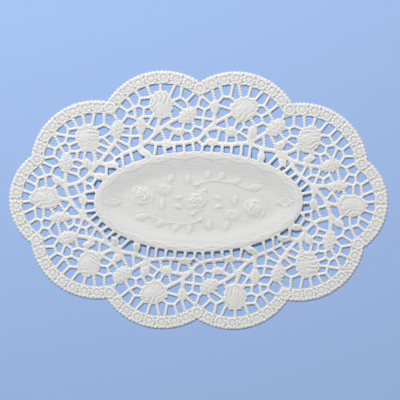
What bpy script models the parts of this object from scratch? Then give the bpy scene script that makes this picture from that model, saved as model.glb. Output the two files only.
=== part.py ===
"""Oval lace doily: one flat sheet with a scalloped edge, a plain oval centre and, between them,
sprays of roses held by a net of straight bars.

Lengths are in millimetres until the sheet is made, and then in metres. A distance field is
negative inside the paper. The pattern repeats after half a turn, so each table holds one half.
"""

import math
from collections import namedtuple

import bpy
import numpy as np

MM = 0.001

# Driving dimensions, in millimetres
THICKNESS = 1.2
BAND_WIDTH = 10.2
CENTRE_HALF_LENGTH = 82.5
CENTRE_HALF_WIDTH = 40.0
STEM_WIDTH = 2.8
BAR_WIDTH = 2.5
CORNER_RADIUS = 0.3

# The middle of the sheet, inside all of its scallops
CORE_HALF_LENGTH = 110.0
CORE_HALF_WIDTH = 62.0

# The net: where its cells start, how large they grow (mm2) and how its bars meet
NET_STEP = 0.64
NET_PITCH = 7.4
CELL_BY_CENTRE = 41.0
CELL_BY_BAND = 64.0
CENTRE_DEPTH = 33.0
BAND_DEPTH = 17.0
SMALLEST_CELL = 0.45
LARGEST_CELL = 1.3
RELAX_ROUNDS = 16
RESIZE_ROUNDS = range(2, 16, 2)
NARROW_GAP = 0.5
SPREAD_ROUNDS = 24
GRAIN_ROUNDS = 4
CORNER_JOIN = 3.0
CORNER_REACH = 1.3
BAR_ROOT = 0.9
SHORTEST_BAR = 1.4
RUN_GAP = 2.0

# The holes that are cut, and how closely their edges are followed
TRACE_STEP = 0.4
TRACE_TOLERANCE = 0.45
SMALLEST_HOLE = 12.0
POINTS_PER_SCALLOP = 12

# The area that the samples cover, and how far round a motif its distance is worked out
REACH_X = 152.0
REACH_Y = 104.0
MARGIN = 6.0

# A scallop starts at its valley, and its arc stands out by bulge from the chord to the next one.
Scallop = namedtuple("Scallop", "x y bulge")
SCALLOPS = [
    Scallop(1.2, 93.7, 15.4),
    Scallop(73.2, 77.0, 15.2),
    Scallop(132.6, 32.6, 17.2),
    Scallop(130.9, -36.1, 15.3),
    Scallop(71.0, -78.6, 15.4),
]

Rose = namedtuple("Rose", "x y length width heading")
ROSES = [
    Rose(-29.0, 76.5, 22.5, 18.5, 92),
    Rose(36.0, 73.0, 21.5, 19.5, 25),
    Rose(87.0, 49.5, 22.0, 18.5, 65),
    Rose(121.5, -3.0, 23.5, 18.0, -2),
    Rose(86.5, -50.5, 22.0, 19.0, -72),
]
ROSE_RUFFLES = 13
ROSE_RUFFLE_DEPTH = 0.045

# The sepals start near the stem's end of a rose and spread, in shares of its half size.
SEPAL_RADIUS = 1.5
SEPAL_ROOT = 0.92
SEPAL_TIP = 0.72

Leaf = namedtuple("Leaf", "x y length width heading teeth")
LEAVES = [
    Leaf(-63.5, 57.0, 15.0, 10.5, 75, 3),
    Leaf(-45.0, 59.8, 14.0, 7.6, 92, 0),
    Leaf(-8.5, 68.0, 16.5, 11.5, 40, 3),
    Leaf(-15.5, 55.2, 9.5, 6.2, -8, 0),
    Leaf(-25.0, 45.8, 9.5, 6.4, -8, 0),
    Leaf(-42.0, 38.8, 11.0, 5.4, -20, 0),
    Leaf(12.9, 74.4, 12.5, 6.8, 90, 0),
    Leaf(25.5, 55.2, 9.5, 7.8, -10, 0),
    Leaf(42.5, 55.2, 10.5, 7.2, 75, 0),
    Leaf(60.5, 58.3, 17.5, 12.0, 35, 3),
    Leaf(10.5, 47.3, 10.5, 6.0, -8, 0),
    Leaf(49.2, 35.8, 8.5, 5.8, -90, 0),
    Leaf(64.3, 44.6, 9.5, 6.6, 42, 0),
    Leaf(87.0, 33.9, 10.0, 5.0, 8, 0),
    Leaf(104.0, 28.6, 17.5, 10.5, 15, 4),
    Leaf(109.0, 12.3, 18.0, 8.5, 5, 3),
    Leaf(66.0, 31.5, 8.5, 5.4, -60, 0),
    Leaf(91.0, -1.6, 9.5, 6.4, -90, 0),
    Leaf(111.0, -17.0, 9.5, 6.2, -35, 0),
    Leaf(104.0, -30.5, 17.5, 10.0, -95, 3),
    Leaf(87.4, -30.2, 9.6, 6.4, -65, 0),
    Leaf(68.0, -29.6, 11.0, 5.4, 178, 0),
    Leaf(77.5, -20.4, 9.5, 5.4, 172, 0),
]
TOOTH_DEPTH = 0.65
TOOTH_SLANT = 0.9

# Each stem runs smoothly through its own points.
STEMS = [
    [(-58.0, 38.5), (-45.0, 44.2), (-35.0, 52.3), (-24.8, 60.9), (-12.5, 67.5)],
    [(-35.0, 52.3), (-32.2, 59.0), (-30.0, 66.0)],
    [(-26.0, 60.0), (-21.0, 57.4), (-16.0, 56.0)],
    [(-41.0, 47.4), (-33.0, 46.2), (-25.0, 46.2)],
    [(-45.0, 44.2), (-44.8, 53.0)],
    [(-46.0, 43.8), (-42.0, 39.5)],
    [(-20.0, 46.2), (-8.0, 47.2), (1.0, 50.5), (5.5, 55.5), (12.3, 61.6), (26.0, 69.0)],
    [(12.3, 61.6), (12.7, 69.0)],
    [(6.2, 56.2), (14.0, 57.9), (23.0, 56.0)],
    [(7.0, 47.2), (24.0, 45.4), (37.9, 46.2), (51.0, 41.8), (61.0, 39.7), (73.9, 32.6), (84.0, 29.3),
     (98.0, 27.0)],
    [(37.9, 46.2), (46.0, 50.0), (55.0, 56.0)],
    [(38.5, 46.6), (41.5, 53.0)],
    [(61.0, 39.7), (70.5, 39.0), (80.0, 44.0)],
    [(60.0, 40.2), (63.5, 43.0)],
    [(61.0, 39.7), (65.0, 33.5)],
    [(49.5, 42.6), (49.0, 38.0)],
    [(83.0, 29.6), (87.0, 32.5)],
    [(71.5, 34.2), (77.0, 24.0), (88.6, 13.6), (96.0, 5.8), (101.7, -0.6), (109.0, -2.6)],
    [(88.6, 13.6), (95.0, 12.2), (104.0, 12.5)],
    [(88.6, 13.6), (90.6, 8.0), (91.0, 1.0)],
    [(99.0, 2.6), (104.0, -9.6), (104.5, -24.0)],
    [(104.0, -9.6), (108.0, -14.4)],
    [(104.4, -12.5), (92.0, -16.5), (83.0, -25.5), (73.5, -36.0), (66.5, -45.0), (64.0, -51.0)],
    [(83.0, -25.5), (81.0, -33.5), (83.0, -42.0)],
    [(84.0, -24.5), (87.0, -28.0)],
    [(79.0, -30.5), (72.0, -29.4)],
    [(86.0, -22.0), (80.0, -20.8)],
]
STEM_POINTS_PER_SPAN = 12


class Samples:
    """Points on a square grid that covers the sheet."""

    def __init__(self, step):
        self.step = step
        columns = np.arange(-REACH_X, REACH_X + step / 2, step)
        rows = np.arange(-REACH_Y, REACH_Y + step / 2, step)
        self.x, self.y = np.meshgrid(columns, rows)
        self.shape = self.x.shape

    def index(self, points):
        """Row and column of the sample nearest each point."""
        columns = np.round((points[:, 0] + REACH_X) / self.step).astype(int)
        rows = np.round((points[:, 1] + REACH_Y) / self.step).astype(int)
        return np.clip(rows, 0, self.shape[0] - 1), np.clip(columns, 0, self.shape[1] - 1)

    def window(self, x, y, reach):
        """The block of samples within reach of a point."""
        rows, columns = self.index(np.array([[x - reach, y - reach], [x + reach, y + reach]]))
        return slice(rows[0], rows[1] + 1), slice(columns[0], columns[1] + 1)


def both_halves(table):
    """The rows of a table, and the same motifs after half a turn."""
    return table + [row._replace(x=-row.x, y=-row.y, heading=row.heading + 180) for row in table]


def scallop_arcs():
    """Start, end, centre and radius of each arc, in order round the edge."""
    rows = SCALLOPS + [row._replace(x=-row.x, y=-row.y) for row in SCALLOPS]
    arcs = []
    for row, following in zip(rows, rows[1:] + rows[:1]):
        start = np.array([row.x, row.y])
        end = np.array([following.x, following.y])
        chord = np.linalg.norm(end - start)
        outward = np.array([start[1] - end[1], end[0] - start[0]]) / chord
        radius = (chord ** 2 / 4 + row.bulge ** 2) / (2 * row.bulge)
        centre = (start + end) / 2 + outward * (row.bulge - radius)
        arcs.append((start, end, centre, radius))
    return arcs


def outline_points():
    """Points along the scalloped edge."""
    points = []
    for start, end, centre, radius in scallop_arcs():
        first = math.atan2(*(start - centre)[::-1])
        sweep = (math.atan2(*(end - centre)[::-1]) - first + math.pi) % (2 * math.pi) - math.pi
        for step in range(POINTS_PER_SCALLOP):
            angle = first + sweep * step / POINTS_PER_SCALLOP
            points.append(centre + radius * np.array([math.cos(angle), math.sin(angle)]))
    return np.array(points)


def ellipse_distance(x, y, half_length, half_width):
    """Nearly the distance to an ellipse at the origin, exact on its edge."""
    level = np.hypot(x / half_length, y / half_width)
    slope = np.hypot(x / half_length ** 2, y / half_width ** 2) + 1e-9
    return level * (level - 1) / slope


def edge_distance(samples):
    """Distance to the scalloped edge: the discs of its arcs, with the middle filled."""
    distance = ellipse_distance(samples.x, samples.y, CORE_HALF_LENGTH, CORE_HALF_WIDTH)
    for _, _, centre, radius in scallop_arcs():
        distance = np.minimum(distance, np.hypot(samples.x - centre[0], samples.y - centre[1]) - radius)
    return distance


def segment_distance(x, y, start, end):
    """Distance to a straight line between two points."""
    run = np.subtract(end, start)
    share = ((x - start[0]) * run[0] + (y - start[1]) * run[1]) / (run @ run + 1e-12)
    share = np.clip(share, 0, 1)
    return np.hypot(x - start[0] - share * run[0], y - start[1] - share * run[1])


def along_and_across(x, y, motif):
    """Coordinates along a motif's heading and across it."""
    turn = math.radians(motif.heading)
    dx, dy = x - motif.x, y - motif.y
    return dx * math.cos(turn) + dy * math.sin(turn), dy * math.cos(turn) - dx * math.sin(turn)


def rose_distance(x, y, rose):
    """A ruffled oval bloom with two sepals at the end where its stem comes in."""
    along, across = along_and_across(x, y, rose)
    half_length, half_width = rose.length / 2, rose.width / 2
    angle = np.arctan2(across / half_width, along / half_length)
    ruffle = 1 + ROSE_RUFFLE_DEPTH * np.cos(ROSE_RUFFLES * angle)
    level = np.hypot(along / half_length, across / half_width) / ruffle
    distance = (level - 1) * half_width
    for side in (1, -1):
        root = (-SEPAL_ROOT * half_length, 0)
        tip = (-SEPAL_TIP * half_length, side * SEPAL_TIP * half_width)
        distance = np.minimum(distance, segment_distance(along, across, root, tip) - SEPAL_RADIUS)
    return distance


def leaf_distance(x, y, leaf):
    """A pointed oval between two arcs, toothed or plain."""
    along, across = along_and_across(x, y, leaf)
    half_length, half_width = leaf.length / 2, leaf.width / 2
    radius = (half_length ** 2 + half_width ** 2) / (2 * half_width)
    distance = np.hypot(along, np.abs(across) + radius - half_width) - radius
    if leaf.teeth:
        phase = 2 * math.pi * (leaf.teeth + 1) * along / leaf.length + TOOTH_SLANT * np.abs(across)
        distance -= TOOTH_DEPTH * np.cos(phase) * np.clip(np.abs(across) / half_width, 0, 1)
    return distance


def smooth_route(points):
    """A Catmull-Rom curve through the points of a stem."""
    p = np.array(points)
    if len(p) == 2:
        return p
    p = np.vstack([2 * p[0] - p[1], p, 2 * p[-1] - p[-2]])
    t = np.linspace(0, 1, STEM_POINTS_PER_SPAN, endpoint=False)[:, None]
    spans = []
    for a, b, c, d in zip(p, p[1:], p[2:], p[3:]):
        spans.append(b + 0.5 * ((c - a) * t + (2 * a - 5 * b + 4 * c - d) * t ** 2
                                + (3 * b - a - 3 * c + d) * t ** 3))
    return np.vstack(spans + [p[-2:-1]])


def add_strokes(samples, distance, strokes, width):
    """Lay rounded strokes, each between two points, into a distance field."""
    for start, end in strokes:
        middle = (start + end) / 2
        reach = np.linalg.norm(end - start) / 2 + MARGIN
        block = samples.window(*middle, reach)
        near = segment_distance(samples.x[block], samples.y[block], start, end) - width / 2
        distance[block] = np.minimum(distance[block], near)


def motif_distance(samples):
    """Distance to the roses, leaves and stems."""
    distance = np.full(samples.shape, 1e3)
    for table, shape in ((ROSES, rose_distance), (LEAVES, leaf_distance)):
        for motif in both_halves(table):
            block = samples.window(motif.x, motif.y, motif.length / 2 + MARGIN)
            near = shape(samples.x[block], samples.y[block], motif)
            distance[block] = np.minimum(distance[block], near)
    for stem in STEMS:
        route = smooth_route(stem)
        for side in (1, -1):
            add_strokes(samples, distance, zip(side * route, side * route[1:]), STEM_WIDTH)
    return distance


def solid_distance(samples):
    """Distance to all that the net joins: the band, the centre and the motifs."""
    band = -edge_distance(samples) - BAND_WIDTH
    centre = ellipse_distance(samples.x, samples.y, CENTRE_HALF_LENGTH, CENTRE_HALF_WIDTH)
    return np.minimum(np.minimum(band, centre), motif_distance(samples))


def first_seeds(samples, free):
    """Points in staggered rows over the free area, the same in both halves."""
    seeds = []
    for number, y in enumerate(np.arange(NET_PITCH / 2, REACH_Y, NET_PITCH)):
        shift = number % 2 * NET_PITCH / 2
        seeds += [(x, y) for x in np.arange(shift - REACH_X, REACH_X, NET_PITCH)]
    seeds = np.array(seeds)
    seeds = seeds[free[samples.index(seeds)]]
    return np.vstack([seeds, -seeds])


def grain(samples, solid):
    """Cosine and sine of the direction that the cells' sides follow: square to the nearest edge."""
    slope_y, slope_x = np.gradient(solid, samples.step)
    turn = 4 * np.arctan2(slope_y, slope_x)
    fields = [np.cos(turn), np.sin(turn)]
    for _ in range(GRAIN_ROUNDS):
        for axis in (0, 1):
            fields = [(np.roll(f, 1, axis) + f + np.roll(f, -1, axis)) / 3 for f in fields]
    turn = np.arctan2(fields[1], fields[0]) / 4
    return np.cos(turn), np.sin(turn)


def cells_of(samples, free, seeds, grains):
    """The seed that each free sample belongs to, or -1. A cell spreads only through free samples,
    and grows as a rounded square along the grain."""
    rows, columns = samples.index(seeds)
    cosine, sine = grains[0][rows, columns], grains[1][rows, columns]

    def reach(at, seed):
        dx = samples.x[at] - seeds[seed, 0]
        dy = samples.y[at] - seeds[seed, 1]
        along = dx * cosine[seed] + dy * sine[seed]
        across = dy * cosine[seed] - dx * sine[seed]
        return along ** 4 + across ** 4

    owner = np.full(samples.shape, -1)
    best = np.full(samples.shape, np.inf)
    known = np.nonzero(free[rows, columns])[0]
    at = rows[known], columns[known]
    owner[at] = known
    best[at] = reach(at, known)
    steps = [(dy, dx) for dy in (-1, 0, 1) for dx in (-1, 0, 1) if dy or dx]
    for _ in range(SPREAD_ROUNDS):
        changed = 0
        for dy, dx in steps:
            offer = np.roll(owner, (dy, dx), (0, 1))
            at = np.nonzero(free & (offer >= 0) & (offer != owner))
            seed = offer[at]
            value = reach(at, seed)
            nearer = value < best[at] - 1e-9
            at = at[0][nearer], at[1][nearer]
            owner[at] = seed[nearer]
            best[at] = value[nearer]
            changed += nearer.sum()
        if not changed:
            break
    return owner


def members(samples, owner, seed):
    """The sample points of one cell."""
    at = np.nonzero(owner == seed)
    return np.stack([samples.x[at], samples.y[at]], 1)


def nearest_member(points, target):
    return points[((points - target) ** 2).sum(1).argmin()]


def halved(points):
    """One seed for each half of a cell that is too large, cut across its longest way."""
    centre = points.mean(0)
    longest = np.linalg.eigh((points - centre).T @ (points - centre))[1][:, 1]
    side = (points - centre) @ longest >= 0
    return [nearest_member(points[part], points[part].mean(0)) for part in (side, ~side)]


def settled_cells(samples, solid, edge):
    """Move the seeds to the middle of their cells, halving large cells and dropping small ones.
    The cells keep out of narrow gaps until the end, when they fill all between the motifs."""
    free = solid > NARROW_GAP
    seeds = first_seeds(samples, free)
    grains = grain(samples, solid)
    depth = np.clip((-edge - BAND_DEPTH) / (CENTRE_DEPTH - BAND_DEPTH), 0, 1)
    wanted = CELL_BY_BAND + (CELL_BY_CENTRE - CELL_BY_BAND) * depth
    for turn in range(RELAX_ROUNDS):
        owner = cells_of(samples, free, seeds, grains)
        moved = []
        for seed in range(len(seeds)):
            points = members(samples, owner, seed)
            if not len(points):
                continue
            middle = nearest_member(points, points.mean(0))
            size = len(points) * samples.step ** 2 / wanted[samples.index(middle[None])][0]
            if turn not in RESIZE_ROUNDS or SMALLEST_CELL <= size <= LARGEST_CELL:
                moved.append(middle)
            elif size > LARGEST_CELL:
                moved += halved(points)
        seeds = np.array(moved)
    return cells_of(samples, solid > 0, seeds, grains)


def shared_borders(samples, owner):
    """For each pair of cells that touch, the places where they do, and whether a third cell
    or more meets them there."""
    corners = np.stack([owner[:-1, :-1], owner[:-1, 1:], owner[1:, :-1], owner[1:, 1:]], -1)
    ordered = np.sort(corners, -1)
    kinds = 1 + (ordered[..., 1:] != ordered[..., :-1]).sum(-1) - (ordered[..., 0] < 0)
    borders = {}
    for row, column in zip(*np.nonzero(kinds >= 2)):
        x = samples.x[row, column] + samples.step / 2
        y = samples.y[row, column] + samples.step / 2
        cells = sorted(set(corners[row, column]) - {-1})
        for place, first in enumerate(cells):
            for second in cells[place + 1:]:
                borders.setdefault((first, second), []).append((x, y, kinds[row, column] >= 3))
    return [np.array(places, float) for places in borders.values()]


def straight_runs(places):
    """Split a border where it is interrupted. Each run has its two ends, and whether each is
    at a corner of the net, not at a motif."""
    points = places[:, :2]
    centred = points - points.mean(0)
    along = centred @ np.linalg.eigh(centred.T @ centred)[1][:, 1]
    order = np.argsort(along, kind="stable")
    breaks = np.nonzero(np.diff(along[order]) > RUN_GAP)[0] + 1
    runs = []
    for run in np.split(order, breaks):
        ends = [points[run[0]], points[run[-1]]]
        corner = [places[run][np.linalg.norm(points[run] - end, axis=1) < CORNER_REACH, 2].any()
                  for end in ends]
        runs.append([ends, corner])
    return runs


def net_bars(samples, owner):
    """Straight bars along the borders between cells, those that meet drawn to one point."""
    runs = [run for places in shared_borders(samples, owner) for run in straight_runs(places)]
    loose = [(ends, side) for ends, corner in runs for side in (0, 1) if corner[side]]
    points = np.array([ends[side] for ends, side in loose])
    free = np.ones(len(loose), bool)
    for number, point in enumerate(points):
        if free[number]:
            near = np.nonzero(free & (np.linalg.norm(points - point, axis=1) < CORNER_JOIN))[0]
            free[near] = False
            for other in near:
                ends, side = loose[other]
                ends[side] = points[near].mean(0)
    bars = []
    for (start, end), (start_corner, end_corner) in runs:
        length = np.linalg.norm(end - start)
        if length >= SHORTEST_BAR or not (start_corner and end_corner):
            way = (end - start) / max(length, SHORTEST_BAR)
            bars.append((start - way * BAR_ROOT * (not start_corner),
                         end + way * BAR_ROOT * (not end_corner)))
    return bars


def rounded_holes(samples, distance):
    """Round the corners of the holes, and fill gaps too narrow for that radius: a hole keeps only
    what a disc of the radius can cover."""
    reach = int(math.ceil(CORNER_RADIUS / samples.step)) + 1
    covered = np.full(samples.shape, -np.inf)
    discs = np.where(distance >= CORNER_RADIUS, distance, -np.inf)
    for dy in range(-reach, reach + 1):
        for dx in range(-reach, reach + 1):
            away = math.hypot(dx, dy) * samples.step
            covered = np.maximum(covered, np.roll(discs, (dy, dx), (0, 1)) - away)
    return np.where(distance > 0, np.minimum(distance, np.maximum(covered, -samples.step)), distance)


def net_layout():
    """The bars of the whole net."""
    samples = Samples(NET_STEP)
    solid = solid_distance(samples)
    owner = settled_cells(samples, solid, edge_distance(samples))
    return net_bars(samples, owner)


# The sides of a grid square that an edge crosses, by which of its corners are paper: one pair
# goes from the side where the edge comes in to the side where it leaves, with paper on its left.
SOUTH, EAST, NORTH, WEST = range(4)
CROSSINGS = {
    1: [(SOUTH, WEST)], 2: [(EAST, SOUTH)], 3: [(EAST, WEST)], 4: [(NORTH, EAST)],
    5: [(SOUTH, WEST), (NORTH, EAST)], 6: [(NORTH, SOUTH)], 7: [(NORTH, WEST)],
    8: [(WEST, NORTH)], 9: [(SOUTH, NORTH)], 10: [(EAST, SOUTH), (WEST, NORTH)],
    11: [(EAST, NORTH)], 12: [(WEST, EAST)], 13: [(SOUTH, EAST)], 14: [(WEST, SOUTH)],
}


def traced_loops(samples, distance):
    """Closed loops where a distance field crosses zero."""
    paper = distance < 0
    kind = (paper[:-1, :-1] * 1 + paper[:-1, 1:] * 2 + paper[1:, 1:] * 4 + paper[1:, :-1] * 8)
    following = {}
    for row, column in zip(*np.nonzero((kind > 0) & (kind < 15))):
        sides = {SOUTH: (row, column, 0), NORTH: (row + 1, column, 0),
                 WEST: (row, column, 1), EAST: (row, column + 1, 1)}
        for start, end in CROSSINGS[kind[row, column]]:
            following[sides[start]] = sides[end]

    def crossing(side):
        row, column, upright = side
        a = distance[row, column]
        b = distance[row + upright, column + 1 - upright]
        share = a / (a - b) * samples.step
        return (samples.x[row, column] + share * (1 - upright),
                samples.y[row, column] + share * upright)

    loops = []
    while following:
        first, side = next(iter(following.items()))
        loop = [first]
        del following[first]
        while side != first:
            loop.append(side)
            side = following.pop(side)
        loops.append(np.array([crossing(side) for side in loop]))
    return loops


def simplified(points, tolerance):
    """Keep the points of an open line that its shape needs (Douglas-Peucker)."""
    if len(points) < 3:
        return points
    run = points[-1] - points[0]
    offset = np.abs(np.cross(run, points - points[0])) / (np.linalg.norm(run) + 1e-12)
    furthest = int(offset.argmax())
    if offset[furthest] <= tolerance:
        return points[[0, -1]]
    before = simplified(points[:furthest + 1], tolerance)
    return np.vstack([before[:-1], simplified(points[furthest:], tolerance)])


def simplified_loop(points, tolerance):
    """Cut a loop at two far corners and keep the points that each half needs."""
    points = np.roll(points, -((points - points.mean(0)) ** 2).sum(1).argmax(), 0)
    far = ((points - points[0]) ** 2).sum(1).argmax()
    closed = np.vstack([points, points[:1]])
    halves = [simplified(part, tolerance)[:-1] for part in (closed[:far + 1], closed[far:])]
    return np.vstack(halves)


def loop_area(points):
    x, y = points.T
    return abs(np.sum(x * np.roll(y, -1) - y * np.roll(x, -1))) / 2


def hole_outlines():
    """The outline of each hole in the net that is large enough to be cut."""
    samples = Samples(TRACE_STEP)
    paper = solid_distance(samples)
    add_strokes(samples, paper, net_layout(), BAR_WIDTH)
    loops = traced_loops(samples, rounded_holes(samples, paper))
    return [simplified_loop(loop, TRACE_TOLERANCE) for loop in loops
            if loop_area(loop) >= SMALLEST_HOLE]


def paper_material():
    """White paper, a little warm and quite matt."""
    material = bpy.data.materials.new("paper")
    material.use_nodes = True
    shader = material.node_tree.nodes["Principled BSDF"]
    shader.inputs["Base Color"].default_value = (0.86, 0.86, 0.84, 1)
    shader.inputs["Roughness"].default_value = 0.85
    shader.inputs["Metallic"].default_value = 0
    return material


def flat_sheet(name, outline, holes):
    """A filled flat curve with holes, given its thickness, resting on the ground."""
    curve = bpy.data.curves.new(name, "CURVE")
    curve.dimensions = "2D"
    curve.fill_mode = "BOTH"
    curve.extrude = THICKNESS / 2 * MM
    for loop in [outline] + holes:
        spline = curve.splines.new("POLY")
        spline.points.add(len(loop) - 1)
        for point, (x, y) in zip(spline.points, loop):
            point.co = (x * MM, y * MM, 0, 1)
        spline.use_cyclic_u = True
    sheet = bpy.data.objects.new(name, curve)
    sheet.location.z = THICKNESS / 2 * MM
    sheet.data.materials.append(paper_material())
    bpy.context.scene.collection.objects.link(sheet)
    return sheet


def main():
    for item in list(bpy.data.objects):
        bpy.data.objects.remove(item)
    flat_sheet("doily", outline_points(), hole_outlines())


main()
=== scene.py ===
"""Oval lace doily of embossed white paper, lying flat.

A scalloped border of rosettes and pearls, a net of corded bars that holds roses and leaves, and a
closed oval centre with a low spray of flowers. Lengths are in millimetres until a mesh is made.
"""

import math
from collections import namedtuple

import bpy
import numpy as np
from bpy.props import FloatProperty, FloatVectorProperty, IntProperty, PointerProperty
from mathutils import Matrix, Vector
from mathutils.geometry import delaunay_2d_cdt


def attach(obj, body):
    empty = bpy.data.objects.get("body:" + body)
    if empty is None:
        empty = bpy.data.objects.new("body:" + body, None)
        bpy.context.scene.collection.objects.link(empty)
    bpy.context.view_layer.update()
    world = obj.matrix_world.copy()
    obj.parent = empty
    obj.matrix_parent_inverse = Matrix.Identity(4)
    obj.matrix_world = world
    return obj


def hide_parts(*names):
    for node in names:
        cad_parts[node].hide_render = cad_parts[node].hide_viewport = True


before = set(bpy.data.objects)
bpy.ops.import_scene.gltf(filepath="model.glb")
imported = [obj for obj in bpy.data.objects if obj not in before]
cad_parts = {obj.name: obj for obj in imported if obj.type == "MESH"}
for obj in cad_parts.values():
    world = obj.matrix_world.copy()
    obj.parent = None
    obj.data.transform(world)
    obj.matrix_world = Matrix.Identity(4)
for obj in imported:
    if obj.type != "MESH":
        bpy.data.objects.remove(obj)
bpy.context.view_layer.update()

bl_info = {
    "name": "Lace doily",
    "version": (1, 0, 0),
    "blender": (4, 5, 0),
    "location": "3D View > Sidebar > Doily",
    "description": "Makes an oval lace doily of embossed paper and a stage for it",
    "category": "Object",
}

MM = 0.001
SHEET = "doily"

# The sheet as it is cut: the border's band, the closed centre, stems, bars and corners. The net
# is laid out between a band and stems of the widths that begin with NET.
BAND_WIDTH = 9.7
NET_BAND_WIDTH = 10.2
CENTRE_HALF_LENGTH = 82.5
CENTRE_HALF_WIDTH = 40.0
STEM_WIDTH = 3.3
NET_STEM_WIDTH = 2.8
LEAF_FILL = 0.3
BAR_WIDTH = 2.4
CORNER_RADIUS = 0.6
CORE_HALF_LENGTH = 110.0
CORE_HALF_WIDTH = 62.0

# The net: where its cells start, how large they grow (mm2 beside the centre and the band), how
# often they are evened out and resized, and how its bars meet
NET_STEP = 0.64
NET_PITCH = 7.4
CELL_BY_CENTRE = 41.0
CELL_BY_BAND = 64.0
CENTRE_DEPTH = 33.0
BAND_DEPTH = 17.0
SMALLEST_CELL = 0.45
LARGEST_CELL = 1.3
RELAX_ROUNDS = 16
RESIZE_ROUNDS = range(2, 16, 2)
NARROW_GAP = 0.5
SPREAD_ROUNDS = 24
GRAIN_ROUNDS = 4
CORNER_JOIN = 3.0
CORNER_REACH = 1.3
BAR_ROOT = 0.9
SHORTEST_BAR = 1.4
RUN_GAP = 2.0
SMALLEST_HOLE = 4.5

# How far the sampled area reaches, and how far round a motif or a stroke its distance is worked out
REACH_X = 152.0
REACH_Y = 104.0
MARGIN = 6.0
LAST_CELL = 1.001

# The mesh: how closely the cut edges and the cords are followed
TRACE_STEP = 0.3
EDGE_STEP = 0.25
STRAIGHT_SPACING = 1.7
CORNER_TURN = 0.55
FEWEST_POINTS = 6
CORD_STEP = 0.4
CORD_SIDE = 0.62
BORDER_START = 0.55
RIM_START = 0.6
SHEET_REACH = (REACH_X, REACH_Y)
CENTRE_REACH = (84, 42)
GRID_CELL = 1.0
MERGE_GAP = 1e-7

# How the mesh's points are laid over an area: their spacing, and how far they keep from the cut
# edges and from the points laid before them
Laying = namedtuple("Laying", "spacing edge gap")
BORDER_ROWS = Laying(0.6, 0.42, 0.48)
CORD_MIDDLES = Laying(0.85, 0.5, 0.595)
CORD_SIDES = Laying(0.85, 0.42, 0.6)
BLOOMS = Laying(0.64, 0.42, 0.544)
RIM_ROWS = Laying(0.62, 0.42, 0.496)
SPRAY = Laying(0.8, 0.42, 0.68)
CENTRE = Laying(1.4, 0.42, 1.19)
NET = Laying(0.95, 0.42, 0.76)
UNDER_CORDS = Laying(1.2, 0.6, 1.0)
UNDER_REST = Laying(1.9, 0.7, 1.0)

# Further away than anything in the sheet, and amounts too small to matter
FAR = 1e3
TINY = 1e-9
TINY_AREA = 1e-12

# A scallop starts at its valley, and its arc stands out by bulge from the chord to the next one.
Scallop = namedtuple("Scallop", "x y bulge")
SCALLOPS = [
    Scallop(1.2, 93.7, 15.4),
    Scallop(73.2, 77.0, 15.2),
    Scallop(132.6, 32.6, 17.2),
    Scallop(130.9, -36.1, 15.3),
    Scallop(71.0, -78.6, 15.4),
]
Arc = namedtuple("Arc", "start end centre radius first sweep")

Rose = namedtuple("Rose", "x y length width heading folds")
ROSES = [
    Rose(-29.0, 76.5, 22.5, 18.5, 92, 92),
    Rose(36.0, 73.0, 21.5, 19.5, 25, 28),
    Rose(87.0, 49.5, 22.0, 18.5, 65, 4),
    Rose(121.5, -3.0, 23.5, 18.0, -2, -2),
    Rose(86.5, -50.5, 22.0, 19.0, -72, 12),
]
ROSE_RUFFLES = 13
ROSE_RUFFLE_DEPTH = 0.045

# The sepals start near the stem's end of a rose and spread, in shares of its half size.
SEPAL_RADIUS = 1.5
SEPAL_ROOT = 0.92
SEPAL_TIP = 0.72

Leaf = namedtuple("Leaf", "x y length width heading teeth")
LEAVES = [
    Leaf(-63.5, 57.0, 15.0, 10.5, 75, 3),
    Leaf(-45.0, 59.8, 14.0, 7.6, 92, 0),
    Leaf(-8.5, 68.0, 16.5, 11.5, 40, 3),
    Leaf(-15.5, 55.2, 9.5, 6.2, -8, 0),
    Leaf(-25.0, 45.8, 9.5, 6.4, -8, 0),
    Leaf(-42.0, 38.8, 11.0, 5.4, -20, 0),
    Leaf(12.9, 74.4, 12.5, 6.8, 90, 0),
    Leaf(25.5, 55.2, 9.5, 7.8, -10, 0),
    Leaf(42.5, 55.2, 10.5, 7.2, 75, 0),
    Leaf(60.5, 58.3, 17.5, 12.0, 35, 3),
    Leaf(10.5, 47.3, 10.5, 6.0, -8, 0),
    Leaf(49.2, 35.8, 8.5, 5.8, -90, 0),
    Leaf(64.3, 44.6, 9.5, 6.6, 42, 0),
    Leaf(87.0, 33.9, 10.0, 5.0, 8, 0),
    Leaf(104.0, 28.6, 17.5, 10.5, 15, 4),
    Leaf(109.0, 12.3, 18.0, 8.5, 5, 3),
    Leaf(66.0, 31.5, 8.5, 5.4, -60, 0),
    Leaf(91.0, -1.6, 9.5, 6.4, -90, 0),
    Leaf(111.0, -17.0, 9.5, 6.2, -35, 0),
    Leaf(104.0, -30.5, 17.5, 10.0, -95, 3),
    Leaf(87.4, -30.2, 9.6, 6.4, -65, 0),
    Leaf(68.0, -29.6, 11.0, 5.4, 178, 0),
    Leaf(77.5, -20.4, 9.5, 5.4, 172, 0),
]
TOOTH_DEPTH = 0.65
TOOTH_SLANT = 0.9

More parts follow.
